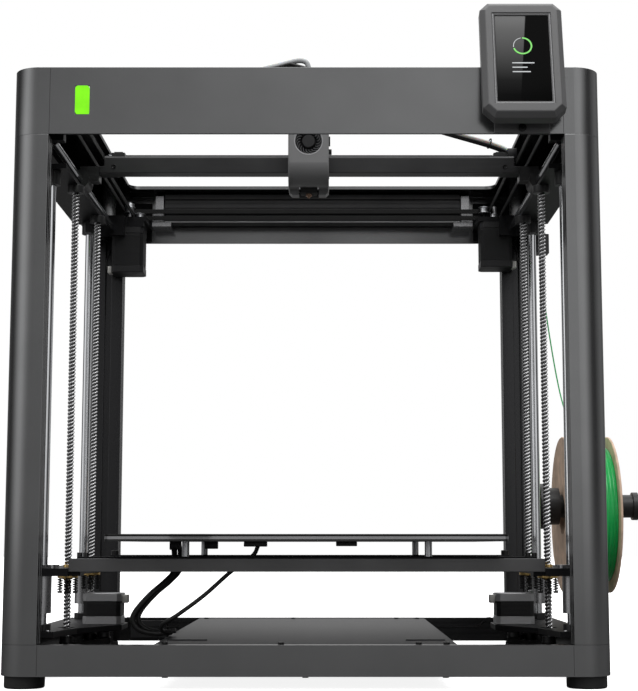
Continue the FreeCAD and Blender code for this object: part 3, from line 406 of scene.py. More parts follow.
NODE_MATERIALS = {
    "paint": ["base_frame_ring", "top_frame_ring", "corner_columns"],
    "rubber": ["rubber_feet"],
    "sheet": [
        "electronics_tray", "electronics_cover", "z_base_plates", "z_top_plates", "gantry_brackets",
        "bed_brackets",
    ],
    "board": ["control_electronics"],
    "plastic": ["power_inlet", "switch_rocker", "spool_holder", "filament_sensor"],
    "rod": ["z_guide_rods", "y_guide_rods"],
    "black": [
        "z_end_blocks", "x_beam", "y_carriages", "rear_crossbeam", "head_mount", "extruder_hotend",
        "z_drive_pulley_left", "z_drive_pulley_right",
    ],
    "beam": ["bed_frame"],
    "steel": ["z_bearings", "extruder_gear", "beam_clips"],
    "alloy": [
        "bed_supports", "xy_pulley_left", "xy_pulley_right", "front_idler_left", "front_idler_right",
        "rear_idler_left", "rear_idler_right", "carriage_idler_left_low", "carriage_idler_left_high",
        "carriage_idler_right_low", "carriage_idler_right_high",
    ],
    "brass": ["z_nuts"],
    "cover": ["head_cover"],
    "housing": ["display_housing", "display_bracket"],
    "glass": ["display_screen"],
    "lens": ["status_light"],
    "bed": ["heated_bed"],
    "pei": ["build_sheet"],
    "belt": ["timing_belts"],
    "spring": ["frame_screws"],
}


def dress_cad_nodes():
    """Give every carried-over node its finish and softly broken edges."""
    widths = {
        "status_light": 0.4 * MM, "frame_screws": 0.3 * MM, "display_screen": 0.2 * MM,
        "base_frame_ring": 1.2 * MM, "top_frame_ring": 1.2 * MM,
        "head_cover": 0.8 * MM, "display_housing": 0.8 * MM,
    }
    for key, names in NODE_MATERIALS.items():
        for name in names:
            node = NODES[name]
            node.data.materials.clear()
            node.data.materials.append(MATS[key])
            weld = node.modifiers.new("weld", "WELD")
            weld.merge_threshold = 0.01 * MM
            bevel = node.modifiers.new("edges", "BEVEL")
            bevel.width = widths.get(name, 0.5 * MM)
            bevel.segments = 2
            bevel.limit_method = "ANGLE"
            bevel.angle_limit = math.radians(40)
            bevel.harden_normals = False
            normals = node.modifiers.new("normals", "WEIGHTED_NORMAL")
            normals.keep_sharp = True


# ---- mesh helpers ----

def add_object(name, mesh, material=None, body=None):
    """Object with a finish, riding on a body if one is given."""
    obj = bpy.data.objects.new(name, mesh)
    bpy.context.scene.collection.objects.link(obj)
    if material:
        mesh.materials.append(MATS[material])
    if body:
        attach(obj, body)
    return obj


def mesh_from(name, verts, faces, smooth=True):
    """Mesh with outward faces, smooth except at its sharp edges."""
    mesh = bpy.data.meshes.new(name)
    mesh.from_pydata([tuple(v) for v in verts], [], faces)
    mesh.update()
    bm = bmesh.new()
    bm.from_mesh(mesh)
    bmesh.ops.recalc_face_normals(bm, faces=bm.faces)
    bm.to_mesh(mesh)
    bm.free()
    for polygon in mesh.polygons:
        polygon.use_smooth = smooth
    if smooth:
        mesh.set_sharp_from_angle(angle=math.radians(38))
    return mesh


def smooth_path(points, steps=10):
    """Catmull-Rom curve through the points."""
    pts = [Vector(p) for p in points]
    pts = [pts[0] * 2 - pts[1]] + pts + [pts[-1] * 2 - pts[-2]]
    path = []
    for i in range(1, len(pts) - 2):
        p0, p1, p2, p3 = pts[i - 1:i + 3]
        for k in range(steps):
            t = k / steps
            path.append(0.5 * (
                2 * p1 + (p2 - p0) * t + (2 * p0 - 5 * p1 + 4 * p2 - p3) * t * t
                + (3 * p1 - p0 - 3 * p2 + p3) * t ** 3
            ))
    path.append(pts[-2])
    return path


def ring_faces(rings, n, closed=False):
    """Quads between successive rings of n points. An open row of rings gets its two ends capped."""
    faces = []
    for i in range(rings if closed else rings - 1):
        j = (i + 1) % rings
        for k in range(n):
            m = (k + 1) % n
            faces.append((i * n + k, i * n + m, j * n + m, j * n + k))
    if not closed:
        faces.append(tuple(reversed(range(n))))
        faces.append(tuple((rings - 1) * n + k for k in range(n)))
    return faces


def sweep_parts(path, radius, sides=12, closed=False):
    """Vertices and faces of a round tube along a path."""
    verts = []
    count = len(path)
    side = None
    for i, p in enumerate(path):
        ahead = path[(i + 1) % count] if closed or i + 1 < count else p
        behind = path[i - 1] if closed or i > 0 else p
        tangent = (ahead - behind).normalized()
        if side is None:
            side = tangent.orthogonal().normalized()
        side = (side - tangent * side.dot(tangent)).normalized()
        up = tangent.cross(side)
        for k in range(sides):
            a = 2 * math.pi * k / sides
            verts.append(p + side * (radius * math.cos(a)) + up * (radius * math.sin(a)))
    return verts, ring_faces(count, sides, closed)


def merged(shapes):
    """Several (verts, faces) pairs as one."""
    verts, faces = [], []
    for v, f in shapes:
        base = len(verts)
        verts.extend(v)
        faces.extend(tuple(i + base for i in face) for face in f)
    return verts, faces


def lathe_parts(profile, origin, axis="Z", segments=32):
    """A turned solid from (radius, height) pairs. The profile is closed by itself."""
    verts = []
    for k in range(segments):
        a = 2 * math.pi * k / segments
        c, s = math.cos(a), math.sin(a)
        for r, h in profile:
            local = {"Z": (r * c, r * s, h), "Y": (r * c, h, r * s), "X": (h, r * c, r * s)}[axis]
            verts.append(Vector(origin) + Vector(local))
    return verts, ring_faces(segments, len(profile), closed=True)


def block_parts(low, high, r):
    """A block with all its edges rounded."""
    bm = bmesh.new()
    bmesh.ops.create_cube(bm, size=1.0)
    size, mid = Vector(high) - Vector(low), (Vector(high) + Vector(low)) / 2
    for v in bm.verts:
        v.co = Vector((v.co.x * size.x, v.co.y * size.y, v.co.z * size.z)) + mid
    if r > 0:
        bmesh.ops.bevel(bm, geom=bm.edges[:], offset=r, segments=2, profile=0.5, affect="EDGES")
    bm.verts.ensure_lookup_table()
    verts = [v.co.copy() for v in bm.verts]
    faces = [tuple(v.index for v in f.verts) for f in bm.faces]
    bm.free()
    return verts, faces


def piece(name, shapes, material, body=None, smooth=True):
    """One object from several shapes."""
    verts, faces = merged(shapes)
    return add_object(name, mesh_from(name, verts, faces, smooth), material, body)


def tube(name, path, radius, material, body=None, sides=12):
    return piece(name, [sweep_parts(path, radius, sides)], material, body)


# ---- lift screws, springs and motors ----

def threaded_shaft(name, at, z0, z1, pulley_top):
    """Rounded thread with plain ends; the thread roots get painted shade, a dark material."""
    sides, step = 24, 0.4 * MM
    rows = int((z1 - z0) / step)
    verts = []
    for i in range(rows + 1):
        z = z0 + i * step
        for k in range(sides):
            a = 2 * math.pi * k / sides
            phase = ((z - THREAD_LEAD * a / (2 * math.pi)) / THREAD_PITCH) % 1.0
            fall = min(1.0, max(0.0, (abs(phase - 0.5) - 0.17) / 0.1))
            r = THREAD_CREST - (THREAD_CREST - THREAD_ROOT) * fall
            if z < pulley_top or z > z1 - 4 * MM:
                r = THREAD_CREST - 0.5 * MM
            verts.append(Vector((at.x + r * math.cos(a), at.y + r * math.sin(a), z)))
    mesh = mesh_from(name, verts, ring_faces(rows + 1, sides))
    mesh.set_sharp_from_angle(angle=math.radians(70))
    mesh.materials.append(MATS["screw"])
    mesh.materials.append(MATS["wire"])
    # painted shade: faces near the root radius take the dark wire material
    for polygon in mesh.polygons:
        c = polygon.center
        if math.hypot(c.x - at.x, c.y - at.y) < THREAD_ROOT + 0.15 * MM:
            polygon.material_index = 1
    return mesh


def lead_screws():
    """Threaded shafts, each with its flanged belt pulley."""
    bore, r, flange, hub = 3.8 * MM, 6.0 * MM, 8.0 * MM, 7 * MM
    for row, side in LIFT_CORNERS:
        node = f"lead_screw_{row}_{side}"
        at = axis_point(node + "_turn")
        low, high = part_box(node)
        z0, z1 = (end.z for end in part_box(f"z_drive_pulley_{side}"))
        shaft = add_object(node + "_thread", threaded_shaft(node, at, low.z, high.z, z1), body=node)
        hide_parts(node)
        profile = [
            (bore, z0), (flange, z0), (flange, z0 + MM), (r, z0 + MM), (r, z0 + 7.4 * MM),
            (flange, z0 + 7.4 * MM), (flange, z0 + 8.4 * MM), (hub, z0 + 8.4 * MM), (hub, z1), (bore, z1),
        ]
        piece(node + "_pulley", [lathe_parts(profile, (at.x, at.y, 0))], "black", node)


def nut_springs():
    """Sprung bolts round each lift nut: a pin with a button head and a coil."""
    low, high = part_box("nut_springs")
    z, top = low.z, high.z
    head_r, head, pin_r = 2.8 * MM, 2.2 * MM, 0.9 * MM
    turns, per_turn, wire, coil_r = 5, 14, 0.6 * MM, 2.6 * MM
    reach = high.x - axis_point("lead_screw_front_right_turn").x - head_r
    span = top - z - head - 2 * wire
    profile = [
        (NEAR_AXIS, z), (2.2 * MM, z), (head_r, z + 0.7 * MM), (head_r, z + head), (pin_r, z + head),
        (pin_r, top), (NEAR_AXIS, top),
    ]
    pins, coils = [], []
    for row, side in LIFT_CORNERS:
        at = axis_point(f"lead_screw_{row}_{side}_turn")
        for dx, dy in ((reach, 0), (-reach, 0), (0, reach), (0, -reach)):
            x, y = at.x + dx, at.y + dy
            pins.append(lathe_parts(profile, (x, y, 0), segments=16))
            path = []
            for i in range(turns * per_turn + 1):
                a = 2 * math.pi * i / per_turn
                rise = z + head + wire + span * i / (turns * per_turn)
                path.append(Vector((x + coil_r * math.cos(a), y + coil_r * math.sin(a), rise)))
            coils.append(sweep_parts(path, wire, 6))
    bolts = piece("nut_bolts", pins, "spring", "bed")
    piece("nut_bolt_coils", coils, "wire", "bed")
    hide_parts("nut_springs")


def motor_parts(x, y, z0, z1, side):
    """Caps, laminated stack and plug of a square motor with cut corners. Its plug faces side."""
    cap = min(9 * MM, (z1 - z0) * 0.26)

    def octagon(inset, low, high, soft=0.5 * MM):
        h = MOTOR_HALF - inset
        c = h - MOTOR_CUT
        ring = [(h, c), (c, h), (-c, h), (-h, c), (-h, -c), (-c, -h), (c, -h), (h, -c)]
        levels = [(1 - soft / h, low), (1, low + soft), (1, high - soft), (1 - soft / h, high)]
        verts = [Vector((x + a * s, y + b * s, z)) for s, z in levels for a, b in ring]
        return verts, ring_faces(len(levels), len(ring))

    caps = [octagon(0, z0, z0 + cap), octagon(0, z1 - cap, z1)]
    stack = [octagon(0.6 * MM, z0 + cap, z1 - cap, 0.2 * MM)]
    lamination = 1.4 * MM
    for i in range(1, int((z1 - z0 - 2 * cap) / lamination)):
        z = z0 + cap + i * lamination
        stack.append(octagon(0.25 * MM, z - 0.45 * MM, z + 0.1 * MM, 0.1 * MM))
    near, far = sorted((x + side * MOTOR_HALF, x + side * (MOTOR_HALF + 6 * MM)))
    half_way_up = 0.3
    plug_z = z0 + MM if z0 > half_way_up else z1 - 11 * MM
    plug = [block_parts((near, y - 8 * MM, plug_z), (far, y + 8 * MM, plug_z + 9 * MM), 0.6 * MM)]
    return caps, stack, plug


def motors():
    """Two lift motors low down and two drive motors in the rear upper corners."""
    lift_height, drive_height = 34 * MM, 61 * MM
    drive_tops = {"left": (555 * MM, 592 * MM), "right": (562 * MM, 586 * MM)}
    pilot_r, pilot, shaft_r, inner = 11 * MM, 2 * MM, 2.5 * MM, 0.1 * MM
    caps, stacks, plugs, dark_caps = [], [], [], []
    base_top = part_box("z_base_plates")[1].z
    for side, tag in BOTH_SIDES:
        at = axis_point(f"z_drive_{tag}_turn")
        cap, stack, plug = motor_parts(at.x, at.y, base_top, base_top + lift_height, -side)
        caps += cap
        stacks += stack
        plugs += plug
        at = axis_point(f"xy_pulley_{tag}_turn")
        top, shaft_top = drive_tops[tag]
        cap, stack, plug = motor_parts(at.x, at.y, top - drive_height, top, side)
        dark_caps += cap
        stacks += stack
        plugs += plug
        profile = [
            (inner, top), (pilot_r, top), (pilot_r, top + pilot), (shaft_r, top + pilot),
            (shaft_r, shaft_top), (inner, shaft_top),
        ]
        caps.append(lathe_parts(profile, (at.x, at.y, 0), segments=24))
    whole = piece("motor_caps", caps, "cap", "frame")
    piece("motor_dark_caps", dark_caps, "stack", "frame")
    piece("motor_stacks", stacks, "stack", "frame")
    piece("motor_plugs", plugs, "white", "frame")
    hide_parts("stepper_motors")


# ---- spool ----

def spool():
    """Card reel, wound filament and the strand that leaves it."""
    at = axis_point("spool_spin")
    low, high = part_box("filament_spool")
    r = (high.z - low.z) / 2
    x0, x1 = low.x, high.x
    bore, core, flange, lip = 25.7 * MM, 40 * MM, 3 * MM, 0.8 * MM
    winding, side_turns = 87 * MM, 5
    profile = [
        (bore, x0), (r - lip, x0), (r, x0 + lip), (r, x0 + flange - lip), (r - lip, x0 + flange),
        (core, x0 + flange), (core, x1 - flange), (r - lip, x1 - flange), (r, x1 - flange + lip),
        (r, x1 - lip), (r - lip, x1), (bore, x1),
    ]
    hub_ring = [(bore, x1), (bore + 9 * MM, x1), (bore + 9 * MM, x1 + 0.6 * MM), (bore, x1 + 0.6 * MM)]
    axis = (0, at.y, at.z)
    shapes = [lathe_parts(profile, axis, "X", 96), lathe_parts(hub_ring, axis, "X", 64)]
    reel = piece("spool_reel", shapes, "card", "spool")
    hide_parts("filament_spool")
    strand, pitch = 1.5 * MM, 4.2 * MM

    def loop(x, ring_r, steps):
        turns = (2 * math.pi * k / steps for k in range(steps))
        path = [Vector((x, at.y + ring_r * math.cos(a), at.z + ring_r * math.sin(a))) for a in turns]
        return sweep_parts(path, strand, 6, closed=True)

    span = x1 - x0 - 2 * flange - 2 * strand
    rows = int(span / pitch)
    rng = random.Random(4)
    fill = winding - strand
    fill_profile = [(core, x0 + flange), (fill, x0 + flange), (fill, x1 - flange), (core, x1 - flange)]
    coils = [lathe_parts(fill_profile, axis, "X", 64)]
    for i in range(rows + 1):
        coils.append(loop(x0 + flange + strand + span * i / rows, fill + rng.uniform(-0.25, 0.25) * MM, 72))
    for x, sign in ((x0 + flange + 0.2 * MM, 1), (x1 - flange - 0.2 * MM, -1)):
        for k in range(side_turns):
            coils.append(loop(x + sign * strand, core + (winding - core) * (k + 0.5) / side_turns, 64))
    piece("filament_winding", coils, "filament", "spool")
    guide_low, guide_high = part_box("filament_sensor")
    gx, gy, gz = SIDE + 9 * MM, (guide_low.y + guide_high.y) / 2, guide_low.z
    path = smooth_path([
        (0.345, at.y - winding * 0.97, at.z + winding * 0.24), (0.338, at.y - 84 * MM, at.z + 70 * MM),
        (0.324, gy - 8 * MM, at.z + 0.16), (gx + 2 * MM, gy - 2 * MM, gz - 60 * MM), (gx, gy, gz - 2 * MM),
        (gx, gy, gz + 6 * MM),
    ], 14)
    tube("filament_strand", path, 0.875 * MM, "filament", "frame", 8)


# ---- cables ----

def offset_path(path, shift):
    return [p + Vector(shift) for p in path]


def head_cables():
    """Arch from the beam's right end, over to the left and down into the head."""
    head_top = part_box("head_cover")[1].z
    y = centre("fan_rotor").y + 0.0289
    path = smooth_path([
        (0.236, -0.050, 0.584), (0.214, -0.054, 0.594), (0.160, -0.062, 0.608), (0.06, -0.052, 0.640),
        (-0.04, -0.042, 0.656), (-0.09, -0.055, 0.663), (-0.072, -0.078, 0.671), (-0.034, -0.086, 0.679),
        (-0.008, y, 0.683), (0.0, y, 0.672), (0.0, y, 0.640), (0.0, y, head_top - 3 * MM),
    ], 12)
    strands = [
        ("cable", 1.9 * MM, (0, 0.0042, -0.0024)), ("cable", 1.7 * MM, (0, -0.0038, -0.0026)),
        ("tube", 2.0 * MM, (0, 0.0002, 0.0016)),
    ]
    for i, (mat, r, shift) in enumerate(strands):
        part = path if mat == "tube" else [p for p in path if p.z < 0.676 or p.x < -0.02]
        obj = tube(f"head_cable_{i}", offset_path(part, shift), r, mat)
        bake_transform(obj)
        if i == 0:
            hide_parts("cable_looms")
    sleeve = tube("head_cable_sleeve", path[int(len(path) * 0.55):], 2.9 * MM, "wrap")
    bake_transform(sleeve)
    ties, tie_r = [], 5.6 * MM
    for k in (14, 40, 66):
        p, along = path[k], (path[k + 1] - path[k]).normalized()
        side = along.orthogonal().normalized()
        up = along.cross(side)
        turns = (math.pi * j / 12 for j in range(24))
        ring = [p + (side * math.cos(a) + up * math.sin(a)) * tie_r for a in turns]
        ties.append(sweep_parts(ring, 0.8 * MM, 6, closed=True))
    tie = piece("head_cable_ties", ties, "plastic")
    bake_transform(tie)
    clamp = block_parts((0.228, -0.058, 0.5785), (0.239, -0.044, 0.590), MM)
    piece("head_cable_clamp", [clamp], "plastic", "gantry")


def bed_cables():
    """Heater cable and sensor cable from under the bed plate to the base."""
    thick = smooth_path([
        (-0.146, -0.100, 0.139), (-0.144, -0.108, 0.125), (-0.143, -0.120, 0.1096), (-0.152, -0.130, 0.098),
        (-0.1666, -0.138, 0.0848), (-0.181, -0.140, 0.068), (-0.184, -0.140, 0.057), (-0.176, -0.138, 0.048),
        (-0.160, -0.134, 0.0445), (-0.145, -0.134, COVER_WIRE_Z),
    ], 12)
    twin = offset_path(thick, (0.0055, 0.004, 0.0012))
    thin = smooth_path([
        (-0.051, -0.165, 0.1375), (-0.057, -0.168, 0.126), (-0.079, -0.171, 0.110), (-0.106, -0.176, 0.086),
        (-0.133, -0.180, 0.066), (-0.149, -0.176, 0.056), (-0.150, -0.166, 0.049),
        (-0.142, -0.156, COVER_WIRE_Z),
    ], 12)
    for name, path, r in (
        ("bed_power_cable", thick, 3.2 * MM), ("bed_ground_cable", twin, 2.6 * MM),
        ("bed_sensor_cable", thin, 2.2 * MM),
    ):
        cable = tube(name, path, r, "cable")
        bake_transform(cable)


def moving_belts():
    """The belt runs whose lengths change, as strips between the idlers and the carriage."""
    lower, upper = 569 * MM, 578 * MM
    cuts, margin, clip_x = 12, 2 * MM, 10.2 * MM
    carriage = axis_point("carriage_idler_right_low_turn")
    reach, y = abs(carriage.x), carriage.y
    front_y = axis_point("front_idler_right_turn").y
    drive_y = axis_point("rear_idler_right_turn").y

    def strip(name, low, high, lengthwise):
        verts = []
        for i in range(cuts + 1):
            t = i / cuts
            for u, w in ((0, 0), (1, 0), (1, 1), (0, 1)):
                share = (t, u, w) if lengthwise == "X" else (u, t, w)
                verts.append([a + (b - a) * f for a, b, f in zip(low, high, share)])
        obj = piece(name, [(verts, ring_faces(cuts + 1, 4))], "belt")
        return obj

    for side, tag in BOTH_SIDES:
        fore, back = (upper, lower) if side < 0 else (lower, upper)
        lo, hi = sorted((side * (reach + BELT_INSIDE), side * (reach + BELT_OUTSIDE)))
        run = strip(f"belt_fore_{tag}", (lo, front_y, fore), (hi, y, fore + BELT_WIDTH), "Y")
        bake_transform(run)
        run = strip(f"belt_back_{tag}", (lo, y, back), (hi, drive_y, back + BELT_WIDTH), "Y")
        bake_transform(run)
        lo, hi = sorted((side * clip_x, side * reach))
        for end, z, y0, y1 in (
            ("a", fore, y + BELT_INSIDE, y + BELT_OUTSIDE), ("b", back, y - BELT_OUTSIDE, y - BELT_INSIDE),
        ):
            run = strip(f"belt_cross_{tag}_{end}", (lo, y0, z), (hi, y1, z + BELT_WIDTH), "X")
            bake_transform(run)
    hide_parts("belt_moving_runs")


# ---- display ----

def display_axes():
    """Middle of the screen, its up direction and its normal."""
    up = Vector((0, math.sin(DISPLAY_TILT), math.cos(DISPLAY_TILT)))
    normal = Vector((0, -math.cos(DISPLAY_TILT), math.sin(DISPLAY_TILT)))
    return centre("display_screen"), up, normal


def display_face():
    """Generic progress screen: a ring gauge with three level bars, just proud of the glass."""
    mid, up, normal = display_axes()
    front = mid + normal * 1.25 * MM
    thick, gauge_v, bar_u, bar_height = 0.15 * MM, 14 * MM, -11 * MM, 1.1 * MM

    def place(u, v, w):
        return front + Vector((u, 0, 0)) + up * v + normal * w

    def arc(r, a0, a1, width, steps):
        verts = []
        for i in range(steps + 1):
            a = a0 + (a1 - a0) * i / steps
            for ring_r, w in ((r, 0), (r + width, 0), (r + width, thick), (r, thick)):
                verts.append(place(ring_r * math.sin(a), gauge_v + ring_r * math.cos(a), w))
        return verts, ring_faces(steps + 1, 4)

    def bar(u0, u1, v0, v1):
        corners = ((u0, v0), (u1, v0), (u1, v1), (u0, v1))
        return [place(u, v, w) for w in (0, thick) for u, v in corners], ring_faces(2, 4)

    done, todo_from, todo_to = 4.4, 4.55, 2 * math.pi - 0.15
    piece("screen_gauge_done", [arc(8.2 * MM, 0, done, 1.5 * MM, 40)], "ui_green", "frame")
    rest = [arc(8.6 * MM, todo_from, todo_to, 0.7 * MM, 16)]
    for i, width in enumerate((22 * MM, 15 * MM, 18 * MM)):
        v = -(6 + 5 * i) * MM
        rest.append(bar(bar_u, bar_u + width, v, v + bar_height))
    piece("screen_readout", rest, "ui_grey", "frame")


def display_rim():
    """Bevelled lip round the glass."""
    low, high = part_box("display_screen")
    mid, up, normal = display_axes()
    half_u = (high.x - low.x) / 2 + 0.2 * MM
    half_v = (high.z - low.z) / 2 / math.cos(DISPLAY_TILT)
    section = ((0, 0.4 * MM), (1.4 * MM, 2.2 * MM), (2.9 * MM, 2.5 * MM), (3.1 * MM, 1.2 * MM))
    verts = []
    for grow, w in section:
        for su, sv in ((-1, -1), (1, -1), (1, 1), (-1, 1)):
            verts.append(mid + Vector((su * (half_u + grow), 0, 0)) + up * sv * (half_v + grow) + normal * w)
    faces = ring_faces(len(section), 4, closed=True)
    piece("display_rim", [(verts, faces)], "rim", "frame", smooth=False)


# ---- small parts ----

def crossbeam_lip():
    """Light strip along the bottom lip of the rear crossbeam, a painted highlight."""
    low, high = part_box("rear_crossbeam")
    strip_low = (low.x + MM, low.y - 0.3 * MM, low.z + 0.8 * MM)
    strip_high = (high.x - MM, low.y + 0.3 * MM, low.z + 2.2 * MM)
    # painted highlight: a light grey strip along the lip
    piece("crossbeam_lip_highlight", [block_parts(strip_low, strip_high, 0.2 * MM)], "trim", "frame")


def bed_fittings():
    """Bolts and thin top plates of the bed frame, and the plugs under the heated plate."""
    low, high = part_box("bed_frame")
    plate_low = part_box("heated_bed")[0].z
    first, last = low.y, high.y - 20 * MM
    bolts = []
    for x, y, r, h in (
        (0.231, last + 10 * MM, 4.4 * MM, 7.5 * MM), (0.2275, first + 10 * MM, 2.8 * MM, 6 * MM),
        (0.2345, first + 13 * MM, 2.8 * MM, 6 * MM),
    ):
        top, foot = high.z + h, high.z - 0.2 * MM
        profile = [
            (r * 0.5, top - 2 * MM), (r * 0.5, top), (r * 0.88, top), (r, top - 0.6 * MM), (r, foot),
            (NEAR_AXIS, foot), (NEAR_AXIS, top - 2 * MM),
        ]
        bolts += [lathe_parts(profile, (s * x, y, 0), segments=20) for s in (-1, 1)]
    piece("bed_frame_bolts", bolts, "spring", "bed")
    z0, z1, half = high.z - 0.1 * MM, high.z + 1.9 * MM, 0.236
    strips = [
        block_parts((-half, y + 4 * MM, z0), (half, y + 19 * MM, z1), 0.3 * MM) for y in (first, last)
    ]
    piece("bed_frame_plates", strips, "sheet", "bed")
    plugs = [
        block_parts((x0, y0, plate_low - drop), (x1, y1, plate_low), 0.8 * MM)
        for x0, x1, y0, y1, drop in (
            (-0.150, -0.138, -0.106, -0.094, 9 * MM), (-0.112, -0.098, -0.105, -0.094, 8 * MM),
            (-0.066, -0.042, -0.172, -0.158, 5.5 * MM), (0.030, 0.052, -0.166, -0.154, 5 * MM),
        )
    ]
    piece("bed_plugs", plugs, "plastic", "bed")


def fan_wheel():
    """Blower wheel with forward-curved blades, hub cap and back disc."""
    at = axis_point("fan_spin")
    low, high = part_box("fan_rotor")
    r = (high.x - low.x) / 2
    y0, y1 = low.y, high.y
    hub_r = 7.4 * MM
    hub = [
        (NEAR_AXIS, y0), (6.6 * MM, y0), (hub_r, y0 + 0.8 * MM), (hub_r, y1 - MM), (r, y1 - MM), (r, y1),
        (NEAR_AXIS, y1),
    ]
    count, rows, half, root_r, sweep, slant = 20, 6, 0.3 * MM, 9.2 * MM, 0.42, 0.7

    def blade(i, front, back):
        verts = []
        for k in range(rows):
            t = k / (rows - 1)
            radius = root_r + (r - root_r - 0.2 * MM) * t
            a = 2 * math.pi * i / count + sweep * t * t
            out = Vector((math.cos(a), 0, math.sin(a)))
            across = Vector((-math.sin(a + slant), 0, math.cos(a + slant))) * half
            p = Vector((at.x, 0, at.z)) + out * radius
            for w, y in ((1, front), (-1, front), (-1, back), (1, back)):
                verts.append(p + across * w + Vector((0, y, 0)))
        return verts, ring_faces(rows, 4)

    edge = y0 + MM
    blades = [blade(i, edge, y1 - MM) for i in range(count)]
    edges = [blade(i, y0 + 0.5 * MM, edge) for i in range(count)]
    wheel = piece("fan_wheel_hub", [lathe_parts(hub, (at.x, 0, at.z), "Y", 48)], "plastic", "fan")
    # blade bodies are dark; their front 0.5 mm strips are lighter grey as a painted highlight
    piece("fan_wheel_blades", blades, "seam", "fan", smooth=False)
    piece("fan_blade_highlight_edges", edges, "blade", "fan", smooth=False)
    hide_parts("fan_rotor")


def head_details():
    """Bright lip round the fan port, nozzle with its sock, side plugs and side louvres."""
    at = axis_point("fan_spin")
    low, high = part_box("head_cover")
    y = low.y
    lip = [
        (14.8 * MM, y - 0.05 * MM), (15.5 * MM, y - 0.35 * MM), (16.0 * MM, y - 0.05 * MM),
        (15.6 * MM, y + 0.2 * MM), (14.8 * MM, y + 1.2 * MM),
    ]
    piece("fan_port_lip", [lathe_parts(lip, (at.x, 0, at.z), "Y", 64)], "trim", "head")
    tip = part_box("extruder_hotend")[0].z
    ny = axis_point("extruder_gear_turn").y
    nozzle = [
        (0.2 * MM, tip), (0.7 * MM, tip), (2.9 * MM, tip + 2.6 * MM), (3.6 * MM, tip + 2.8 * MM),
        (3.6 * MM, tip + 5 * MM), (0.2 * MM, tip + 5 * MM),
    ]
    piece("brass_nozzle", [lathe_parts(nozzle, (0, ny, 0), segments=24)], "copper", "head")
    half = 9.6 * MM
    sock = block_parts((-half, ny - half, tip + 4.6 * MM), (half, ny + half, tip + 19.4 * MM), MM)
    piece("heater_sock", [sock], "rubber", "head")
    x = high.x - 0.1 * MM
    plugs = [
        block_parts((x, y + 12 * MM, 0.5795), (x + 1.6 * MM, y + 22 * MM, 0.5885), 0.4 * MM),
        block_parts((x, y + 14 * MM, 0.5695), (x + 3.2 * MM, y + 21 * MM, 0.5745), 0.4 * MM),
    ]
    piece("head_side_plugs", plugs, "plastic", "head")
    louvres = []
    for z in (0.548, 0.555, 0.562, 0.569):
        for x0, x1 in ((x, x + 0.5 * MM), (-x - 0.5 * MM, -x)):
            louvres.append(block_parts((x0, y + 30 * MM, z), (x1, y + 46 * MM, z + 2.5 * MM), 0.2 * MM))
    piece("head_side_louvres", louvres, "seam", "head")


def button_head(x, y, z, r, axis="Y"):
    """Round screw head facing the front (or up), with a round socket."""
    socket, shoulder = r * 0.42, r * 0.85
    if axis == "Y":
        profile = [
            (socket, y), (shoulder, y - 0.9 * MM), (r, y - 0.5 * MM), (r, y + 0.1 * MM),
            (NEAR_AXIS, y + 0.1 * MM), (NEAR_AXIS, y - 0.2 * MM), (socket, y - 0.2 * MM),
        ]
        return lathe_parts(profile, (x, 0, z), "Y", 24)
    profile = [
        (socket, z + 0.3 * MM), (r * 0.5, z + 1.1 * MM), (shoulder, z + 1.0 * MM), (r, z + 0.5 * MM), (r, z),
        (NEAR_AXIS, z), (NEAR_AXIS, z + 0.3 * MM),
    ]
    return lathe_parts(profile, (x, y, 0), "Z", 24)


def fasteners():
    """Screws in the beam's ends, the idler tops and the motor plates."""
    beam_low, beam_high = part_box("x_beam")
    heads = [button_head(s * 0.2235, beam_low.y - 0.1 * MM, 0.566, 2.7 * MM) for s in (-1, 1)]
    y, z = centre("x_beam").y - MM, beam_high.z - 1.3 * MM
    for s in (-1, 1):
        for dx in (-4 * MM, 4 * MM):
            heads.append(button_head(s * 0.2188 + dx, y, z, 1.6 * MM, "Z"))
    piece("gantry_screws", heads, "spring", "gantry")
    plate_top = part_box("z_base_plates")[1].z
    fixed = [
        button_head(s * x, FRONT + depth, plate_top, 2.6 * MM, "Z")
        for s in (-1, 1) for depth in (0.094, 0.375) for x in (0.264, 0.286)
    ]
    piece("plate_screws", fixed, "steel", "frame")


def ring_seams():
    """Fine joint lines where the rings' corner pieces meet their straight fronts."""
    strips = []
    seam_x, half, deep = 0.2574, 0.22 * MM, 0.26 * MM
    for ring in ("top_frame_ring", "base_frame_ring"):
        low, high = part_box(ring)
        for x in (-seam_x, seam_x):
            for y in (low.y - 0.06 * MM, high.y - 0.2 * MM):
                strips.append(block_parts((x - half, y, low.z + MM), (x + half, y + deep, high.z - MM), 0))
    piece("ring_seams", strips, "seam", "frame", smooth=False)


def motor_leads():
    """Wires from the two upper motors to the rear wall and from the lift motors to the cover."""
    wires = []
    wire_r, spacing = 0.7 * MM, 1.9 * MM

    def bundle(x, side, y, bends):
        for k in range(4):
            shift = (k - 1.5) * spacing
            points = [(x + side * out * MM, y + back * MM + shift * gap, z) for out, back, gap, z in bends]
            wires.append(sweep_parts(smooth_path(points, 8), wire_r, 8))

    for side, tag in BOTH_SIDES:
        at = axis_point(f"xy_pulley_{tag}_turn")
        z = 0.507 if side > 0 else 0.5
        wall = (BACK - at.y) / MM
        bundle(at.x + side * 25 * MM, side, at.y, (
            (0, 0, 1, z), (4, 0, 0.8, z + 2 * MM), (5, 8, 0.5, z + 16 * MM), (2, wall - 12, 0.4, z + 40 * MM),
            (-4, wall - 9, 0.4, z + 62 * MM),
        ))
        at = axis_point(f"z_drive_{tag}_turn")
        bundle(at.x - side * 26 * MM, -side, at.y, (
            (0, 0, 1, 0.0565), (5, 0, 1, 0.0555), (14, 0, 0.7, 0.048), (32, 4, 0.6, COVER_WIRE_Z),
            (58, 6, 0.6, COVER_WIRE_Z),
        ))
    piece("motor_leads", wires, "cable", "frame")


# ---- stage ----

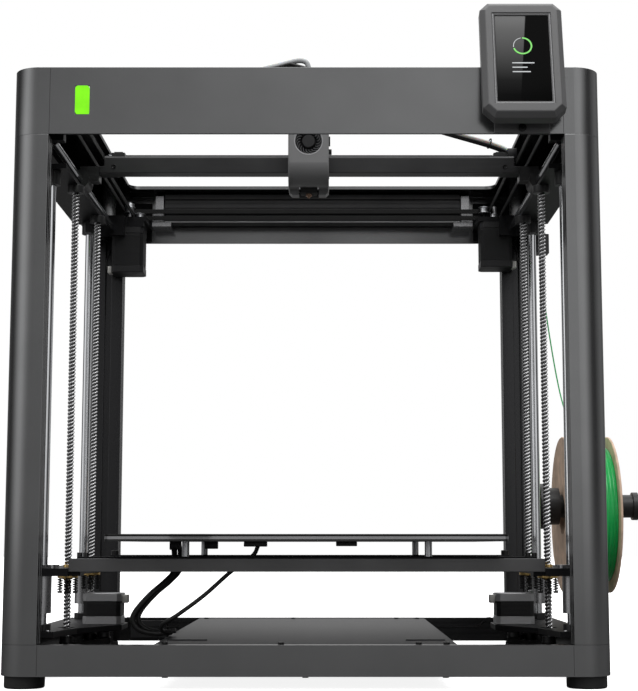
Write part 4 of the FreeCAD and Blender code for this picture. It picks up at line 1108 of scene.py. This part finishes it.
def soft_room():
    """White to the camera. For lighting, soft boxes at both front quarters, dark flanks, bright top."""
    world = bpy.data.worlds.new("studio")
    bpy.context.scene.world = world
    world.use_nodes = True
    tree = world.node_tree
    coords = tree.nodes.new("ShaderNodeTexCoord")
    split = tree.nodes.new("ShaderNodeSeparateXYZ")
    tree.links.new(coords.outputs["Generated"], split.inputs["Vector"])
    heading = maths(tree, "ARCTAN2", split.outputs["X"], maths(tree, "MULTIPLY", split.outputs["Y"], -1.0))
    around = maths(tree, "ADD", maths(tree, "DIVIDE", heading, 2 * math.pi), 0.5)
    walls = grey_ramp(tree, around, [(0.5 + turn / 360, level) for turn, level in ROOM_AROUND])
    rise = maths(tree, "ADD", maths(tree, "MULTIPLY", split.outputs["Z"], 0.5), 0.5)
    height = grey_ramp(tree, rise, ROOM_HEIGHT)
    ceiling = grey_ramp(tree, rise, [(0.72, 0.0), (0.9, ROOM_CEILING)])
    lit = tree.nodes.new("ShaderNodeVectorMath")
    lit.operation = "MULTIPLY_ADD"
    for source, socket in zip((walls, height, ceiling), lit.inputs):
        tree.links.new(source, socket)
    room = tree.nodes["Background"]
    tree.links.new(lit.outputs["Vector"], room.inputs["Color"])
    room.inputs["Strength"].default_value = 1.0
    white = tree.nodes.new("ShaderNodeBackground")
    white.inputs["Strength"].default_value = 1.0
    white.inputs["Color"].default_value = (1, 1, 1, 1)
    rays = tree.nodes.new("ShaderNodeLightPath")
    mix = tree.nodes.new("ShaderNodeMixShader")
    tree.links.new(rays.outputs["Is Camera Ray"], mix.inputs["Fac"])
    tree.links.new(room.outputs["Background"], mix.inputs[1])
    tree.links.new(white.outputs["Background"], mix.inputs[2])
    tree.links.new(mix.outputs["Shader"], tree.nodes["World Output"].inputs["Surface"])


def pale_floor():
    """Pale to the camera with soft contact shadows, but a weak bounce, so that undersides stay dark."""
    bpy.ops.mesh.primitive_plane_add(size=30, location=(0, 0, 0))
    floor = bpy.context.object
    floor.name = "studio_floor"
    mat, tree, bsdf = new_material("studio_floor")
    bsdf.inputs["Roughness"].default_value = 0.95
    bsdf.inputs["Emission Color"].default_value = (1, 1, 1, 1)
    rays = tree.nodes.new("ShaderNodeLightPath")
    seen = rays.outputs["Is Camera Ray"]
    tree.links.new(grey_ramp(tree, seen, [(0.0, 0.12), (1.0, 0.9)]), bsdf.inputs["Base Color"])
    tree.links.new(maths(tree, "MULTIPLY", seen, 0.88), bsdf.inputs["Emission Strength"])
    floor.data.materials.append(mat)


def studio():
    """Floor, room, one soft lamp and the viewing camera."""
    pale_floor()
    soft_room()
    data = bpy.data.lights.new("overhead", "AREA")
    data.shape, data.size, data.size_y = "RECTANGLE", 1.4, 1.0
    data.energy = 9
    lamp = bpy.data.objects.new("overhead", data)
    bpy.context.scene.collection.objects.link(lamp)
    lamp.location = (0.35, -0.9, cad_box[1].z + 1.1)
    lamp.rotation_euler = (Vector((0, 0, 0.35)) - lamp.location).to_track_quat("-Z", "Y").to_euler()

    camera_data = bpy.data.cameras.new("camera")
    camera = bpy.data.objects.new("camera", camera_data)
    bpy.context.scene.collection.objects.link(camera)
    camera.location = (CAMERA_X, FRONT - CAMERA_DISTANCE, CAMERA_HEIGHT)
    camera.rotation_euler = (math.pi / 2 + CAMERA_PITCH, 0, 0)
    camera_data.sensor_width = 36.0
    camera_data.lens = CAMERA_LENS
    camera_data.shift_x = CAMERA_SHIFT
    camera_data.clip_start, camera_data.clip_end = 0.05, 60
    bpy.context.scene.camera = camera
    bpy.context.scene.view_settings.view_transform = "Standard"


dress_cad_nodes()
lead_screws()
nut_springs()
motors()
spool()
head_cables()
bed_cables()
moving_belts()
display_face()
display_rim()
crossbeam_lip()
bed_fittings()
fan_wheel()
head_details()
fasteners()
ring_seams()
motor_leads()
studio()
